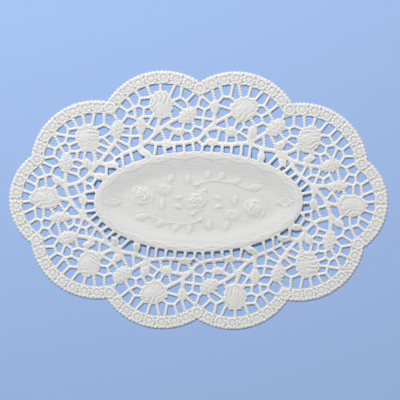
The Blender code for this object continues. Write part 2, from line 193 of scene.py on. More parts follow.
# Each stem runs smoothly through its own points.
STEMS = [
    [(-58.0, 38.5), (-45.0, 44.2), (-35.0, 52.3), (-24.8, 60.9), (-12.5, 67.5)],
    [(-35.0, 52.3), (-32.2, 59.0), (-30.0, 66.0)],
    [(-26.0, 60.0), (-21.0, 57.4), (-16.0, 56.0)],
    [(-41.0, 47.4), (-33.0, 46.2), (-25.0, 46.2)],
    [(-45.0, 44.2), (-44.8, 53.0)],
    [(-46.0, 43.8), (-42.0, 39.5)],
    [(-20.0, 46.2), (-8.0, 47.2), (1.0, 50.5), (5.5, 55.5), (12.3, 61.6), (26.0, 69.0)],
    [(12.3, 61.6), (12.7, 69.0)],
    [(6.2, 56.2), (14.0, 57.9), (23.0, 56.0)],
    [(7.0, 47.2), (24.0, 45.4), (37.9, 46.2), (51.0, 41.8), (61.0, 39.7), (73.9, 32.6),
     (84.0, 29.3), (98.0, 27.0)],
    [(37.9, 46.2), (46.0, 50.0), (55.0, 56.0)],
    [(38.5, 46.6), (41.5, 53.0)],
    [(61.0, 39.7), (70.5, 39.0), (80.0, 44.0)],
    [(60.0, 40.2), (63.5, 43.0)],
    [(61.0, 39.7), (65.0, 33.5)],
    [(49.5, 42.6), (49.0, 38.0)],
    [(83.0, 29.6), (87.0, 32.5)],
    [(71.5, 34.2), (77.0, 24.0), (88.6, 13.6), (96.0, 5.8), (101.7, -0.6), (109.0, -2.6)],
    [(88.6, 13.6), (95.0, 12.2), (104.0, 12.5)],
    [(88.6, 13.6), (90.6, 8.0), (91.0, 1.0)],
    [(99.0, 2.6), (104.0, -9.6), (104.5, -24.0)],
    [(104.0, -9.6), (108.0, -14.4)],
    [(104.4, -12.5), (92.0, -16.5), (83.0, -25.5), (73.5, -36.0), (66.5, -45.0), (64.0, -51.0)],
    [(83.0, -25.5), (81.0, -33.5), (83.0, -42.0)],
    [(84.0, -24.5), (87.0, -28.0)],
    [(79.0, -30.5), (72.0, -29.4)],
    [(86.0, -22.0), (80.0, -20.8)],
]
STEM_POINTS_PER_SPAN = 12


class Samples:
    """Points on a square grid that covers the sheet."""

    def __init__(self, step):
        self.step = step
        columns = np.arange(-REACH_X, REACH_X + step / 2, step)
        rows = np.arange(-REACH_Y, REACH_Y + step / 2, step)
        self.x, self.y = np.meshgrid(columns, rows)
        self.shape = self.x.shape

    def index(self, points):
        """Row and column of the sample nearest each point."""
        columns = np.round((points[:, 0] + REACH_X) / self.step).astype(int)
        rows = np.round((points[:, 1] + REACH_Y) / self.step).astype(int)
        return np.clip(rows, 0, self.shape[0] - 1), np.clip(columns, 0, self.shape[1] - 1)

    def window(self, x, y, reach):
        """The block of samples within reach of a point."""
        rows, columns = self.index(np.array([[x - reach, y - reach], [x + reach, y + reach]]))
        return slice(rows[0], rows[1] + 1), slice(columns[0], columns[1] + 1)

    def read(self, field, points):
        """A field's value at each point, between the samples round it."""
        across = np.clip((points[:, 0] + REACH_X) / self.step, 0, self.shape[1] - LAST_CELL)
        up = np.clip((points[:, 1] + REACH_Y) / self.step, 0, self.shape[0] - LAST_CELL)
        column, row = across.astype(int), up.astype(int)
        a, b = across - column, up - row
        low = field[row, column] * (1 - a) + field[row, column + 1] * a
        high = field[row + 1, column] * (1 - a) + field[row + 1, column + 1] * a
        return low * (1 - b) + high * b


def both_halves(table):
    """The rows of a table, and the same motifs after half a turn."""
    return table + [row._replace(x=-row.x, y=-row.y, heading=row.heading + 180) for row in table]


def heading_of(vector):
    """The angle of a vector."""
    return math.atan2(vector[1], vector[0])


def wrapped(angle):
    """The same angle, between minus and plus half a turn."""
    return (angle + math.pi) % (2 * math.pi) - math.pi


def scallop_arcs():
    """The arcs of the edge, in order round it."""
    rows = SCALLOPS + [row._replace(x=-row.x, y=-row.y) for row in SCALLOPS]
    arcs = []
    for row, following in zip(rows, rows[1:] + rows[:1]):
        start = np.array([row.x, row.y])
        end = np.array([following.x, following.y])
        chord = np.linalg.norm(end - start)
        outward = np.array([start[1] - end[1], end[0] - start[0]]) / chord
        radius = (chord ** 2 / 4 + row.bulge ** 2) / (2 * row.bulge)
        centre = (start + end) / 2 + outward * (row.bulge - radius)
        first = heading_of(start - centre)
        sweep = wrapped(heading_of(end - centre) - first)
        arcs.append(Arc(start, end, centre, radius, first, sweep))
    return arcs


def ellipse_distance(x, y, half_length, half_width):
    """Nearly the distance to an ellipse at the origin, exact on its edge."""
    level = np.hypot(x / half_length, y / half_width)
    slope = np.hypot(x / half_length ** 2, y / half_width ** 2) + TINY
    return level * (level - 1) / slope


def edge_distance(x, y):
    """Distance to the scalloped edge: the discs of its arcs, with the middle filled."""
    distance = ellipse_distance(x, y, CORE_HALF_LENGTH, CORE_HALF_WIDTH)
    for arc in scallop_arcs():
        distance = np.minimum(distance, np.hypot(x - arc.centre[0], y - arc.centre[1]) - arc.radius)
    return distance


def segment_distance(x, y, start, end):
    """Distance to a straight line between two points."""
    run = np.subtract(end, start)
    share = ((x - start[0]) * run[0] + (y - start[1]) * run[1]) / (run @ run + TINY_AREA)
    share = np.clip(share, 0, 1)
    return np.hypot(x - start[0] - share * run[0], y - start[1] - share * run[1])


def along_and_across(x, y, motif):
    """Coordinates along a motif's heading and across it."""
    turn = math.radians(motif.heading)
    dx, dy = x - motif.x, y - motif.y
    return dx * math.cos(turn) + dy * math.sin(turn), dy * math.cos(turn) - dx * math.sin(turn)


def sepal_distance(along, across, rose):
    """Distance to the two sepals' middles."""
    half_length, half_width = rose.length / 2, rose.width / 2
    root = (-SEPAL_ROOT * half_length, 0)
    tips = [(-SEPAL_TIP * half_length, side * SEPAL_TIP * half_width) for side in (1, -1)]
    return np.minimum(*[segment_distance(along, across, root, tip) for tip in tips])


def rose_level(along, across, rose):
    """How far out a place lies in a rose's ruffled oval, 1 on its edge, and at which angle."""
    u, v = along / (rose.length / 2), across / (rose.width / 2)
    angle = np.arctan2(v, u)
    return np.hypot(u, v) / (1 + ROSE_RUFFLE_DEPTH * np.cos(ROSE_RUFFLES * angle)), angle


def rose_distance(x, y, rose):
    """A ruffled oval bloom with two sepals at the end where its stem comes in."""
    along, across = along_and_across(x, y, rose)
    distance = (rose_level(along, across, rose)[0] - 1) * rose.width / 2
    return np.minimum(distance, sepal_distance(along, across, rose) - SEPAL_RADIUS)


def leaf_distance(x, y, leaf):
    """A pointed oval between two arcs, toothed or plain."""
    along, across = along_and_across(x, y, leaf)
    half_length, half_width = leaf.length / 2, leaf.width / 2
    radius = (half_length ** 2 + half_width ** 2) / (2 * half_width)
    distance = np.hypot(along, np.abs(across) + radius - half_width) - radius
    if leaf.teeth:
        phase = 2 * math.pi * (leaf.teeth + 1) * along / leaf.length + TOOTH_SLANT * np.abs(across)
        distance -= TOOTH_DEPTH * np.cos(phase) * np.clip(np.abs(across) / half_width, 0, 1)
    return distance


def full_leaf_distance(x, y, leaf):
    """A leaf as it is pressed, a little fuller than the one the net was laid out round."""
    return leaf_distance(x, y, leaf) - LEAF_FILL


def smooth_route(points):
    """A Catmull-Rom curve through the points of a stem."""
    p = np.array(points)
    if len(p) == 2:
        return p
    p = np.vstack([2 * p[0] - p[1], p, 2 * p[-1] - p[-2]])
    t = np.linspace(0, 1, STEM_POINTS_PER_SPAN, endpoint=False)[:, None]
    spans = []
    for a, b, c, d in zip(p, p[1:], p[2:], p[3:]):
        spans.append(b + 0.5 * ((c - a) * t + (2 * a - 5 * b + 4 * c - d) * t ** 2
                                + (3 * b - a - 3 * c + d) * t ** 3))
    return np.vstack(spans + [p[-2:-1]])


def add_strokes(samples, distance, strokes, width):
    """Lay rounded strokes, each between two points, into a distance field."""
    for start, end in strokes:
        middle = (start + end) / 2
        reach = np.linalg.norm(end - start) / 2 + MARGIN
        block = samples.window(*middle, reach)
        near = segment_distance(samples.x[block], samples.y[block], start, end) - width / 2
        distance[block] = np.minimum(distance[block], near)


def table_distance(samples, tables):
    """Distance to the roses or leaves of some tables."""
    distance = np.full(samples.shape, FAR)
    for table, shape in tables:
        for motif in both_halves(table):
            block = samples.window(motif.x, motif.y, motif.length / 2 + MARGIN)
            near = shape(samples.x[block], samples.y[block], motif)
            distance[block] = np.minimum(distance[block], near)
    return distance


def stem_routes():
    """The line of every stem."""
    return [side * smooth_route(stem) for stem in STEMS for side in (1, -1)]


def solid_distance(samples, band_width, stem_width, leaf_shape):
    """Distance to all that the net joins: the band, the centre and the motifs."""
    band = -edge_distance(samples.x, samples.y) - band_width
    centre = ellipse_distance(samples.x, samples.y, CENTRE_HALF_LENGTH, CENTRE_HALF_WIDTH)
    motifs = table_distance(samples, ((ROSES, rose_distance), (LEAVES, leaf_shape)))
    for route in stem_routes():
        add_strokes(samples, motifs, zip(route, route[1:]), stem_width)
    return np.minimum(np.minimum(band, centre), motifs)


def first_seeds(samples, free):
    """Points in staggered rows over the free area, the same in both halves."""
    seeds = []
    for number, y in enumerate(np.arange(NET_PITCH / 2, REACH_Y, NET_PITCH)):
        shift = number % 2 * NET_PITCH / 2
        seeds += [(x, y) for x in np.arange(shift - REACH_X, REACH_X, NET_PITCH)]
    seeds = np.array(seeds)
    seeds = seeds[free[samples.index(seeds)]]
    return np.vstack([seeds, -seeds])


def grain(samples, solid):
    """Cosine and sine of the direction that the cells' sides follow: square to the nearest edge."""
    slope_y, slope_x = np.gradient(solid, samples.step)
    turn = 4 * np.arctan2(slope_y, slope_x)
    fields = [np.cos(turn), np.sin(turn)]
    for _ in range(GRAIN_ROUNDS):
        for axis in (0, 1):
            fields = [(np.roll(f, 1, axis) + f + np.roll(f, -1, axis)) / 3 for f in fields]
    turn = np.arctan2(fields[1], fields[0]) / 4
    return np.cos(turn), np.sin(turn)


def cells_of(samples, free, seeds, grains):
    """The seed that each free sample belongs to, or -1. A cell spreads only through free samples,
    and grows as a rounded square along the grain."""
    rows, columns = samples.index(seeds)
    cosine, sine = grains[0][rows, columns], grains[1][rows, columns]

    def reach(at, seed):
        """How far samples lie from their seeds, as a rounded square measures it."""
        dx = samples.x[at] - seeds[seed, 0]
        dy = samples.y[at] - seeds[seed, 1]
        along = dx * cosine[seed] + dy * sine[seed]
        across = dy * cosine[seed] - dx * sine[seed]
        return along ** 4 + across ** 4

    owner = np.full(samples.shape, -1)
    best = np.full(samples.shape, np.inf)
    known = np.nonzero(free[rows, columns])[0]
    at = rows[known], columns[known]
    owner[at] = known
    best[at] = reach(at, known)
    steps = [(dy, dx) for dy in (-1, 0, 1) for dx in (-1, 0, 1) if dy or dx]
    for _ in range(SPREAD_ROUNDS):
        changed = 0
        for dy, dx in steps:
            offer = np.roll(owner, (dy, dx), (0, 1))
            at = np.nonzero(free & (offer >= 0) & (offer != owner))
            seed = offer[at]
            value = reach(at, seed)
            nearer = value < best[at] - TINY
            at = at[0][nearer], at[1][nearer]
            owner[at] = seed[nearer]
            best[at] = value[nearer]
            changed += nearer.sum()
        if not changed:
            break
    return owner


def members(samples, owner, seed):
    """The sample points of one cell."""
    at = np.nonzero(owner == seed)
    return np.stack([samples.x[at], samples.y[at]], 1)


def nearest_member(points, target):
    """The sample point nearest a place."""
    return points[((points - target) ** 2).sum(1).argmin()]


def along_longest(points):
    """How far each point lies from the middle of its group, along the group's longest way."""
    centred = points - points.mean(0)
    return centred @ np.linalg.eigh(centred.T @ centred)[1][:, 1]


def halved(points):
    """One seed for each half of a cell that is too large, cut across its longest way."""
    side = along_longest(points) >= 0
    return [nearest_member(points[part], points[part].mean(0)) for part in (side, ~side)]


def settled_cells(samples, solid, edge):
    """Move the seeds to the middle of their cells, halving large cells and dropping small ones.
    The cells keep out of narrow gaps until the end, when they fill all between the motifs."""
    free = solid > NARROW_GAP
    seeds = first_seeds(samples, free)
    grains = grain(samples, solid)
    depth = np.clip((-edge - BAND_DEPTH) / (CENTRE_DEPTH - BAND_DEPTH), 0, 1)
    wanted = CELL_BY_BAND + (CELL_BY_CENTRE - CELL_BY_BAND) * depth
    for turn in range(RELAX_ROUNDS):
        owner = cells_of(samples, free, seeds, grains)
        moved = []
        for seed in range(len(seeds)):
            points = members(samples, owner, seed)
            if not len(points):
                continue
            middle = nearest_member(points, points.mean(0))
            size = len(points) * samples.step ** 2 / wanted[samples.index(middle[None])][0]
            if turn not in RESIZE_ROUNDS or SMALLEST_CELL <= size <= LARGEST_CELL:
                moved.append(middle)
            elif size > LARGEST_CELL:
                moved += halved(points)
        seeds = np.array(moved)
    return cells_of(samples, solid > 0, seeds, grains)


def shared_borders(samples, owner):
    """For each pair of cells that touch, the places where they do, and whether a third cell
    or more meets them there."""
    corners = np.stack([owner[:-1, :-1], owner[:-1, 1:], owner[1:, :-1], owner[1:, 1:]], -1)
    ordered = np.sort(corners, -1)
    kinds = 1 + (ordered[..., 1:] != ordered[..., :-1]).sum(-1) - (ordered[..., 0] < 0)
    borders = {}
    for row, column in zip(*np.nonzero(kinds >= 2)):
        x = samples.x[row, column] + samples.step / 2
        y = samples.y[row, column] + samples.step / 2
        cells = sorted(set(corners[row, column]) - {-1})
        for place, first in enumerate(cells):
            for second in cells[place + 1:]:
                borders.setdefault((first, second), []).append((x, y, kinds[row, column] >= 3))
    return [np.array(places, float) for places in borders.values()]


def straight_runs(places):
    """Split a border where it is interrupted. Each run has its two ends, and whether each is
    at a corner of the net, not at a motif."""
    points = places[:, :2]
    along = along_longest(points)
    order = np.argsort(along, kind="stable")
    breaks = np.nonzero(np.diff(along[order]) > RUN_GAP)[0] + 1
    runs = []
    for run in np.split(order, breaks):
        ends = [points[run[0]], points[run[-1]]]
        corner = [places[run][np.linalg.norm(points[run] - end, axis=1) < CORNER_REACH, 2].any()
                  for end in ends]
        runs.append([ends, corner])
    return runs


def net_bars(samples, owner):
    """Straight bars along the borders between cells, those that meet drawn to one point."""
    runs = [run for places in shared_borders(samples, owner) for run in straight_runs(places)]
    loose = [(ends, side) for ends, corner in runs for side in (0, 1) if corner[side]]
    points = np.array([ends[side] for ends, side in loose])
    free = np.ones(len(loose), bool)
    for number, point in enumerate(points):
        if free[number]:
            near = np.nonzero(free & (np.linalg.norm(points - point, axis=1) < CORNER_JOIN))[0]
            free[near] = False
            for other in near:
                ends, side = loose[other]
                ends[side] = points[near].mean(0)
    bars = []
    for (start, end), (start_corner, end_corner) in runs:
        length = np.linalg.norm(end - start)
        if length >= SHORTEST_BAR or not (start_corner and end_corner):
            way = (end - start) / max(length, SHORTEST_BAR)
            bars.append((start - way * BAR_ROOT * (not start_corner),
                         end + way * BAR_ROOT * (not end_corner)))
    return bars


def rounded_holes(samples, distance):
    """Round the corners of the holes, and fill gaps too narrow for that radius: a hole keeps only
    what a disc of the radius can cover."""
    reach = int(math.ceil(CORNER_RADIUS / samples.step)) + 1
    covered = np.full(samples.shape, -np.inf)
    discs = np.where(distance >= CORNER_RADIUS, distance, -np.inf)
    for dy in range(-reach, reach + 1):
        for dx in range(-reach, reach + 1):
            away = math.hypot(dx, dy) * samples.step
            covered = np.maximum(covered, np.roll(discs, (dy, dx), (0, 1)) - away)
    hole = np.minimum(distance, np.maximum(covered, -samples.step))
    return np.where(distance > 0, hole, distance)


def net_layout():
    """The bars of the whole net."""
    samples = Samples(NET_STEP)
    solid = solid_distance(samples, NET_BAND_WIDTH, NET_STEM_WIDTH, leaf_distance)
    owner = settled_cells(samples, solid, edge_distance(samples.x, samples.y))
    return net_bars(samples, owner)


# The sides of a grid square that an edge crosses, by which of its corners are paper: one pair
# goes from the side where the edge comes in to the side where it leaves, with paper on its left.
SOUTH, EAST, NORTH, WEST = range(4)
CROSSINGS = {
    1: [(SOUTH, WEST)], 2: [(EAST, SOUTH)], 3: [(EAST, WEST)], 4: [(NORTH, EAST)],
    5: [(SOUTH, WEST), (NORTH, EAST)], 6: [(NORTH, SOUTH)], 7: [(NORTH, WEST)],
    8: [(WEST, NORTH)], 9: [(SOUTH, NORTH)], 10: [(EAST, SOUTH), (WEST, NORTH)],
    11: [(EAST, NORTH)], 12: [(WEST, EAST)], 13: [(SOUTH, EAST)], 14: [(WEST, SOUTH)],
}


def traced_loops(samples, distance):
    """Closed loops where a distance field crosses zero."""
    paper = distance < 0
    kind = (paper[:-1, :-1] * 1 + paper[:-1, 1:] * 2 + paper[1:, 1:] * 4 + paper[1:, :-1] * 8)
    following = {}
    for row, column in zip(*np.nonzero((kind > 0) & (kind < 15))):
        sides = {SOUTH: (row, column, 0), NORTH: (row + 1, column, 0),
                 WEST: (row, column, 1), EAST: (row, column + 1, 1)}
        for start, end in CROSSINGS[kind[row, column]]:
            following[sides[start]] = sides[end]

    def crossing(side):
        """The place on a grid square's side where the field is zero."""
        row, column, upright = side
        a = distance[row, column]
        b = distance[row + upright, column + 1 - upright]
        share = a / (a - b) * samples.step
        return (samples.x[row, column] + share * (1 - upright),
                samples.y[row, column] + share * upright)

    loops = []
    while following:
        first, side = next(iter(following.items()))
        loop = [first]
        del following[first]
        while side != first:
            loop.append(side)
            side = following.pop(side)
        loops.append(np.array([crossing(side) for side in loop]))
    return loops


def signed_area(points):
    """The area of a loop, positive where it runs anticlockwise."""
    x, y = points.T
    return np.sum(x * np.roll(y, -1) - y * np.roll(x, -1)) / 2


def running(steps):
    """The running total of some steps, from 0."""
    return np.concatenate([[0], np.cumsum(steps)])


def way_along(line):
    """How far along a line each of its points lies."""
    return running(np.linalg.norm(np.diff(line, axis=0), axis=1))


def points_at(wanted, total, line):
    """The points of a line where a running total along it takes the wanted values."""
    return np.stack([np.interp(wanted, total, line[:, axis]) for axis in (0, 1)], 1)


def evenly_spaced(points, spacing, closed=False):
    """Points at an even spacing along a line or a loop."""
    line = np.vstack([points, points[:1]]) if closed else np.asarray(points)
    along = way_along(line)
    count = max(int(round(along[-1] / spacing)), FEWEST_POINTS if closed else 1)
    wanted = np.linspace(0, along[-1], count + 1)
    return points_at(wanted[:-1] if closed else wanted, along, line)


def corner_spaced(loop):
    """Points along a loop, closer together where it turns."""
    fine = evenly_spaced(loop, EDGE_STEP, closed=True)
    way = np.roll(fine, -2, 0) - fine
    heading = np.arctan2(way[:, 1], way[:, 0])
    turn = np.abs(wrapped(heading - np.roll(heading, 2))) / 2
    total = running(EDGE_STEP / STRAIGHT_SPACING + turn / CORNER_TURN)
    count = max(int(round(total[-1])), FEWEST_POINTS)
    wanted = np.linspace(0, total[-1], count, endpoint=False)
    return points_at(wanted, total, np.vstack([fine, fine[:1]]))


# The border: pearls along the edge, a chain of rosettes, and a beaded rim inside them
PEARL_PITCH = 3.2
PEARL_DEPTH = 1.25
PEARL_BUMP = 0.7
POINTS_PER_PEARL = 5
VALLEY_FILLET = 1.4
VALLEY_PEARL_DEPTH = 0.8
ROSETTE_DEPTH = 4.9
RIM_DEPTH = 8.75
PATH_SPACING = 0.5
POINTS_PER_ARC = 160
POINTS_PER_VALLEY = 12
POINTS_PER_OVAL = 1440
NEAREST_STEPS = 5


def on_arc(arc, angles, depth=0.0):
    """Points on an arc of the edge, some depth inside it."""
    angles = np.asarray(angles, float)
    reach = np.reshape(arc.radius - np.asarray(depth, float), (-1, 1))
    return arc.centre + reach * np.stack([np.cos(angles), np.sin(angles)], -1)


def pearl_ends(arc):
    """The angles at which the pearls of an arc begin and end."""
    inset = math.copysign(VALLEY_FILLET / arc.radius, arc.sweep)
    length = abs(arc.sweep - 2 * inset) * arc.radius
    count = round(length / PEARL_PITCH)
    return np.linspace(arc.first + inset, arc.first + arc.sweep - inset, count + 1)


def pearled_outline():
    """The cut edge, standing out a little round each pearl."""
    share = np.arange(POINTS_PER_PEARL) / POINTS_PER_PEARL
    points = []
    for arc in scallop_arcs():
        ends = pearl_ends(arc)
        for start, end in zip(ends, ends[1:]):
            bump = PEARL_BUMP * np.sin(math.pi * share)
            points.append(on_arc(arc, start + (end - start) * share, -bump))
        points.append(on_arc(arc, ends[-1:]))
    return np.vstack(points)


def round_valley(before, after, depth, shares):
    """Points round the valley between two arcs, from the end of one (0) to the start of the
    next (1), some depth inside it."""
    first = heading_of(before.centre - before.end)
    turn = wrapped(heading_of(after.centre - before.end) - first)
    angles = first + turn * np.asarray(shares)
    return before.end + depth * np.stack([np.cos(angles), np.sin(angles)], 1)


def scallop_lines(depth):
    """For each scallop the line at a depth inside the edge, from mid valley to mid valley."""
    arcs = scallop_arcs()
    lines = []
    for before, arc, after in zip(arcs[-1:] + arcs, arcs, arcs[1:] + arcs[:1]):
        line = [round_valley(before, arc, depth, np.linspace(0.5, 1, POINTS_PER_VALLEY)[:-1]),
                on_arc(arc, arc.first + arc.sweep * np.linspace(0, 1, POINTS_PER_ARC), depth),
                round_valley(arc, after, depth, np.linspace(0, 0.5, POINTS_PER_VALLEY)[1:])]
        lines.append(evenly_spaced(np.vstack(line), PATH_SPACING))
    return lines


def pearl_lines():
    """For each scallop a line through the middles of its pearls, with the valley's own pearl."""
    arcs = scallop_arcs()
    lines = []
    for arc, after in zip(arcs, arcs[1:] + arcs[:1]):
        ends = pearl_ends(arc)
        middles = (ends[:-1] + ends[1:]) / 2
        lines.append(np.vstack([on_arc(arc, middles, PEARL_DEPTH),
                                round_valley(arc, after, VALLEY_PEARL_DEPTH, [0.5])]))
    return lines


def oval_line(depth):
    """The line at a depth inside the closed centre's edge, starting at its right end."""
    angle = np.linspace(0, 2 * math.pi, POINTS_PER_OVAL, endpoint=False)
    a, b = CENTRE_HALF_LENGTH, CENTRE_HALF_WIDTH
    points = np.stack([a * np.cos(angle), b * np.sin(angle)], 1)
    inward = -np.stack([np.cos(angle) / a, np.sin(angle) / b], 1)
    inward /= np.linalg.norm(inward, axis=1)[:, None]
    return evenly_spaced(points + depth * inward, PATH_SPACING, closed=True)


def oval_depth(x, y):
    """The distance inside the closed centre's edge, by stepping to the nearest point of it."""
    a, b = CENTRE_HALF_LENGTH, CENTRE_HALF_WIDTH
    x, y = np.abs(x), np.abs(y)
    tx = np.full(x.shape, math.sqrt(0.5))
    ty = tx.copy()
    for _ in range(NEAREST_STEPS):
        ex = (a * a - b * b) * tx ** 3 / a
        ey = (b * b - a * a) * ty ** 3 / b
        reach = np.hypot(a * tx - ex, b * ty - ey)
        away = np.hypot(x - ex, y - ey) + TINY
        tx = np.clip(((x - ex) * reach / away + ex) / a, 0, 1)
        ty = np.clip(((y - ey) * reach / away + ey) / b, 0, 1)
        size = np.hypot(tx, ty)
        tx, ty = tx / size, ty / size
    inside = (x / a) ** 2 + (y / b) ** 2 < 1
    return np.where(inside, 1, -1) * np.hypot(a * tx - x, b * ty - y)


# Relief, in millimetres above the sheet's own level
LEVEL = 0.25
BAND_LIFT = 0.2
BAND_LIFT_FADE = (-0.3, 0.8)
MOTIF_MARGIN = 2.0
ROSE_CROWN = 0.6
HEM_DEPTH = 0.95
HEM_HALF_WIDTH = 0.75
HEM_HEIGHT = 0.42
HEM_BEADS = 27
HEM_BEAD_DEPTH = 0.4
FOLD_FADE = 1.2
SEPAL_HEIGHT = 0.5
LEAF_CROWN = 0.7
MIDRIB_DEPTH = 0.16
MIDRIB_SPREAD = 0.5
MIDRIB_REACH = 0.42
VEIN_DEPTH = 0.07
VEIN_PITCH = 3.6
VEIN_SLANT = 0.8

# A rose's petals and its heart: the petals follow waves, which start at a place of its own in
# each bloom
Ripple = namedtuple("Ripple", "size along across start")
PETAL_SWAYS = [Ripple(1, 2.4, 0, 1), Ripple(0.5, 4.9, 2.5, -2)]
PETAL_WANDER = [Ripple(0.12, 0, 4, 3)]
PETAL_HEIGHTS = [Ripple(0.4, 2.3, 1.6, 1), Ripple(0.25, 5.2, -3.1, -1)]
BLOOM_START = 1.7
PETAL_STEP = 0.33
PETAL_PITCH = 3.5
PETAL_SHIFT = 0.3
PETAL_SWAY = 0.2
PETAL_BEND = 0.22
PETAL_MIDDLE = 0.55
LOWEST_PETAL = 0.1
HEART = (-0.28, 0.12)
HEART_SIZE = (0.54, 0.36)
HEART_CROWN = 0.16
HEART_RINGS = 1.0
HEART_COIL = 0.4
HEART_TILT = 0.12
HEART_FADE = (0.85, 1.15)

# The closed centre: its raised edge, its rim, the dish inside them, and the flowers in the dish
CENTRE_EDGE = 0.2
CENTRE_EDGE_HALF = 0.6
CENTRE_RIM = 0.28
CENTRE_RIM_FADE = (0, 1.6)
CENTRE_SWELL = 1.1
SWELL_REACH = 12.0
RIM_WIDTH = 6.8
DISH = (3.0, 19.0)
SPRAY_FADE = (0, 2)
SPRAY_HEIGHT = 0.33
SPRAY_LEAF_FADE = (-0.1, 0.7)
SPRAY_MIDRIB = 0.2
SPRAY_MIDRIB_SPREAD = 0.6
SPRAY_ROSE_HEIGHT = 0.55
SPRAY_PETAL_PITCH = 2.4
SPRAY_PETAL_STEP = 0.33
SPRAY_PETAL_SWAY = 0.3
SPRAY_PETALS = 3
SPRAY_PETAL_TURN = 2.4
SPRAY_PETAL_MIDDLE = 0.45
SPRAY_PETAL_LEAN = 0.3
SPRAY_PETAL_SPAN = 0.7
SPRAY_PETAL_EDGE = 0.8
SPRAY_PETAL_FADE = 0.25
SPRAY_ROSE_MIDDLE = (-0.15, 0.08)
SPRAY_ROSE_RUFFLES = 7
SPRAY_ROSE_RUFFLE_DEPTH = 0.05
SPRAY_STEM_HEIGHT = 0.17
SPRAY_STEM_HALF_WIDTH = 1.4
BURST_RAYS = 11
BURST_HEIGHT = 0.62
BURST_RAY_DEPTH = 0.55
BURST_RAY_FADE = (0.2, 0.5)
END_HEIGHT = 0.25
END_RINGS = 2.0
END_FADE = (0, 0.15)

# The spray in the closed centre: a middle rose, and one of each pair of leaves and flowers
SPRAY_LEAVES = [
    Leaf(44.6, 11.6, 13.5, 6.2, 8, 0),
    Leaf(30.2, 16.6, 9.5, 5.6, 27, 0),
    Leaf(18.2, 20.6, 8.2, 5.6, 50, 0),
    Leaf(7.3, 21.3, 8.2, 5.6, 75, 0),
    Leaf(-8.4, 18.4, 9.0, 5.2, 92, 0),
    Leaf(-21.8, 19.0, 9.0, 5.6, 62, 0),
    Leaf(15.4, -3.6, 7.4, 4.2, 15, 0),
    Leaf(28.8, 1.6, 10.5, 4.8, 85, 0),
    Leaf(-15.8, -3.4, 7.4, 4.6, -20, 0),
    Leaf(-1.2, 13.9, 5.6, 3.8, 25, 0),
    Leaf(-4.3, -9.2, 5.0, 3.4, 10, 0),
]
SPRAY_ROSES = [Rose(44.2, -4.6, 21.0, 18.0, 150, 150)]
SPRAY_HEART = Rose(-0.8, 0.6, 20.0, 18.4, 35, 35)
SPRAY_BURSTS = [Rose(26.5, -10.1, 13.0, 10.0, -10, 0)]
SPRAY_ENDS = [Leaf(68.1, 0.2, 14.0, 6.5, 0, 0)]
SPRAY_STEMS = [
    [(-0.5, 14.8), (4.6, 16.3), (11.9, 17.4), (19.0, 16.6), (27.1, 15.4), (38.0, 11.0)],
    [(5.5, 16.5), (7.2, 19.5)],
    [(13.0, 17.3), (16.4, 19.4)],
    [(22.5, 16.0), (27.5, 17.0)],
]


def smoothstep(low, high, value):
    """A smooth rise from 0 to 1."""
    share = np.clip((value - low) / (high - low), 0, 1)
    return share * share * (3 - 2 * share)


def crown(level):
    """A domed height, 1 in the middle and 0 where the level reaches 1."""
    return np.sqrt(np.clip(1 - level ** 2, 0, 1))


def soft(level):
    """A dome that runs out smoothly, 1 in the middle and 0 where the level reaches 1."""
    return np.clip(1 - level ** 2, 0, 1) ** 2


def rippled(ripples, u, v, start):
    """The sum of some waves over a bloom."""
    return sum(wave.size * np.sin(wave.along * u + wave.start * start + wave.across * v)
               for wave in ripples)


def petal_folds(x, y, rose):
    """Long puffed petals that lie along a bloom and part round its oval heart."""
    along, across = along_and_across(x, y, rose._replace(heading=rose.folds))
    reach = (rose.length + rose.width) / 4
    u, v = along / reach, across / reach
    start = rose.x + BLOOM_START * rose.y
    du, dv = (u - HEART[0]) / HEART_SIZE[0], (v - HEART[1]) / HEART_SIZE[1]
    ring = np.hypot(du, dv)
    spread = np.abs(v / (1 - PETAL_BEND * u * u) - HEART[1] * np.exp(-ring)
                    + PETAL_SWAY * rippled(PETAL_SWAYS, u, v, start))
    rise = spread * reach / PETAL_PITCH + rippled(PETAL_WANDER, u, v, start) + PETAL_SHIFT
    petals = np.sin(math.pi * rise) ** 2
    turns = HEART_RINGS * ring + HEART_TILT * np.arctan2(dv, du)
    coil = HEART_COIL * np.abs(np.sin(math.pi * turns))
    inside = 1 - smoothstep(*HEART_FADE, ring)
    height = np.clip(PETAL_MIDDLE + rippled(PETAL_HEIGHTS, u, v, start), LOWEST_PETAL, 1)
    return PETAL_STEP * height * (petals + (coil - petals) * inside) + HEART_CROWN * crown(ring)


def rose_lift(x, y, rose, detailed):
    """The height of a rose."""
    along, across = along_and_across(x, y, rose)
    level, angle = rose_level(along, across, rose)
    lift = ROSE_CROWN * crown(level)
    if detailed:
        depth = (1 - level) * rose.width / 2
        folds = petal_folds(x, y, rose) * smoothstep(HEM_DEPTH, HEM_DEPTH + FOLD_FADE, depth)
        beads = 1 - HEM_BEAD_DEPTH + HEM_BEAD_DEPTH * np.cos(HEM_BEADS * angle)
        hem = HEM_HEIGHT * crown((depth - HEM_DEPTH) / HEM_HALF_WIDTH) * beads
        lift = lift + np.maximum(folds, 0) + hem
    sepal = SEPAL_HEIGHT * crown(sepal_distance(along, across, rose) / SEPAL_RADIUS)
    return np.maximum(lift, sepal)


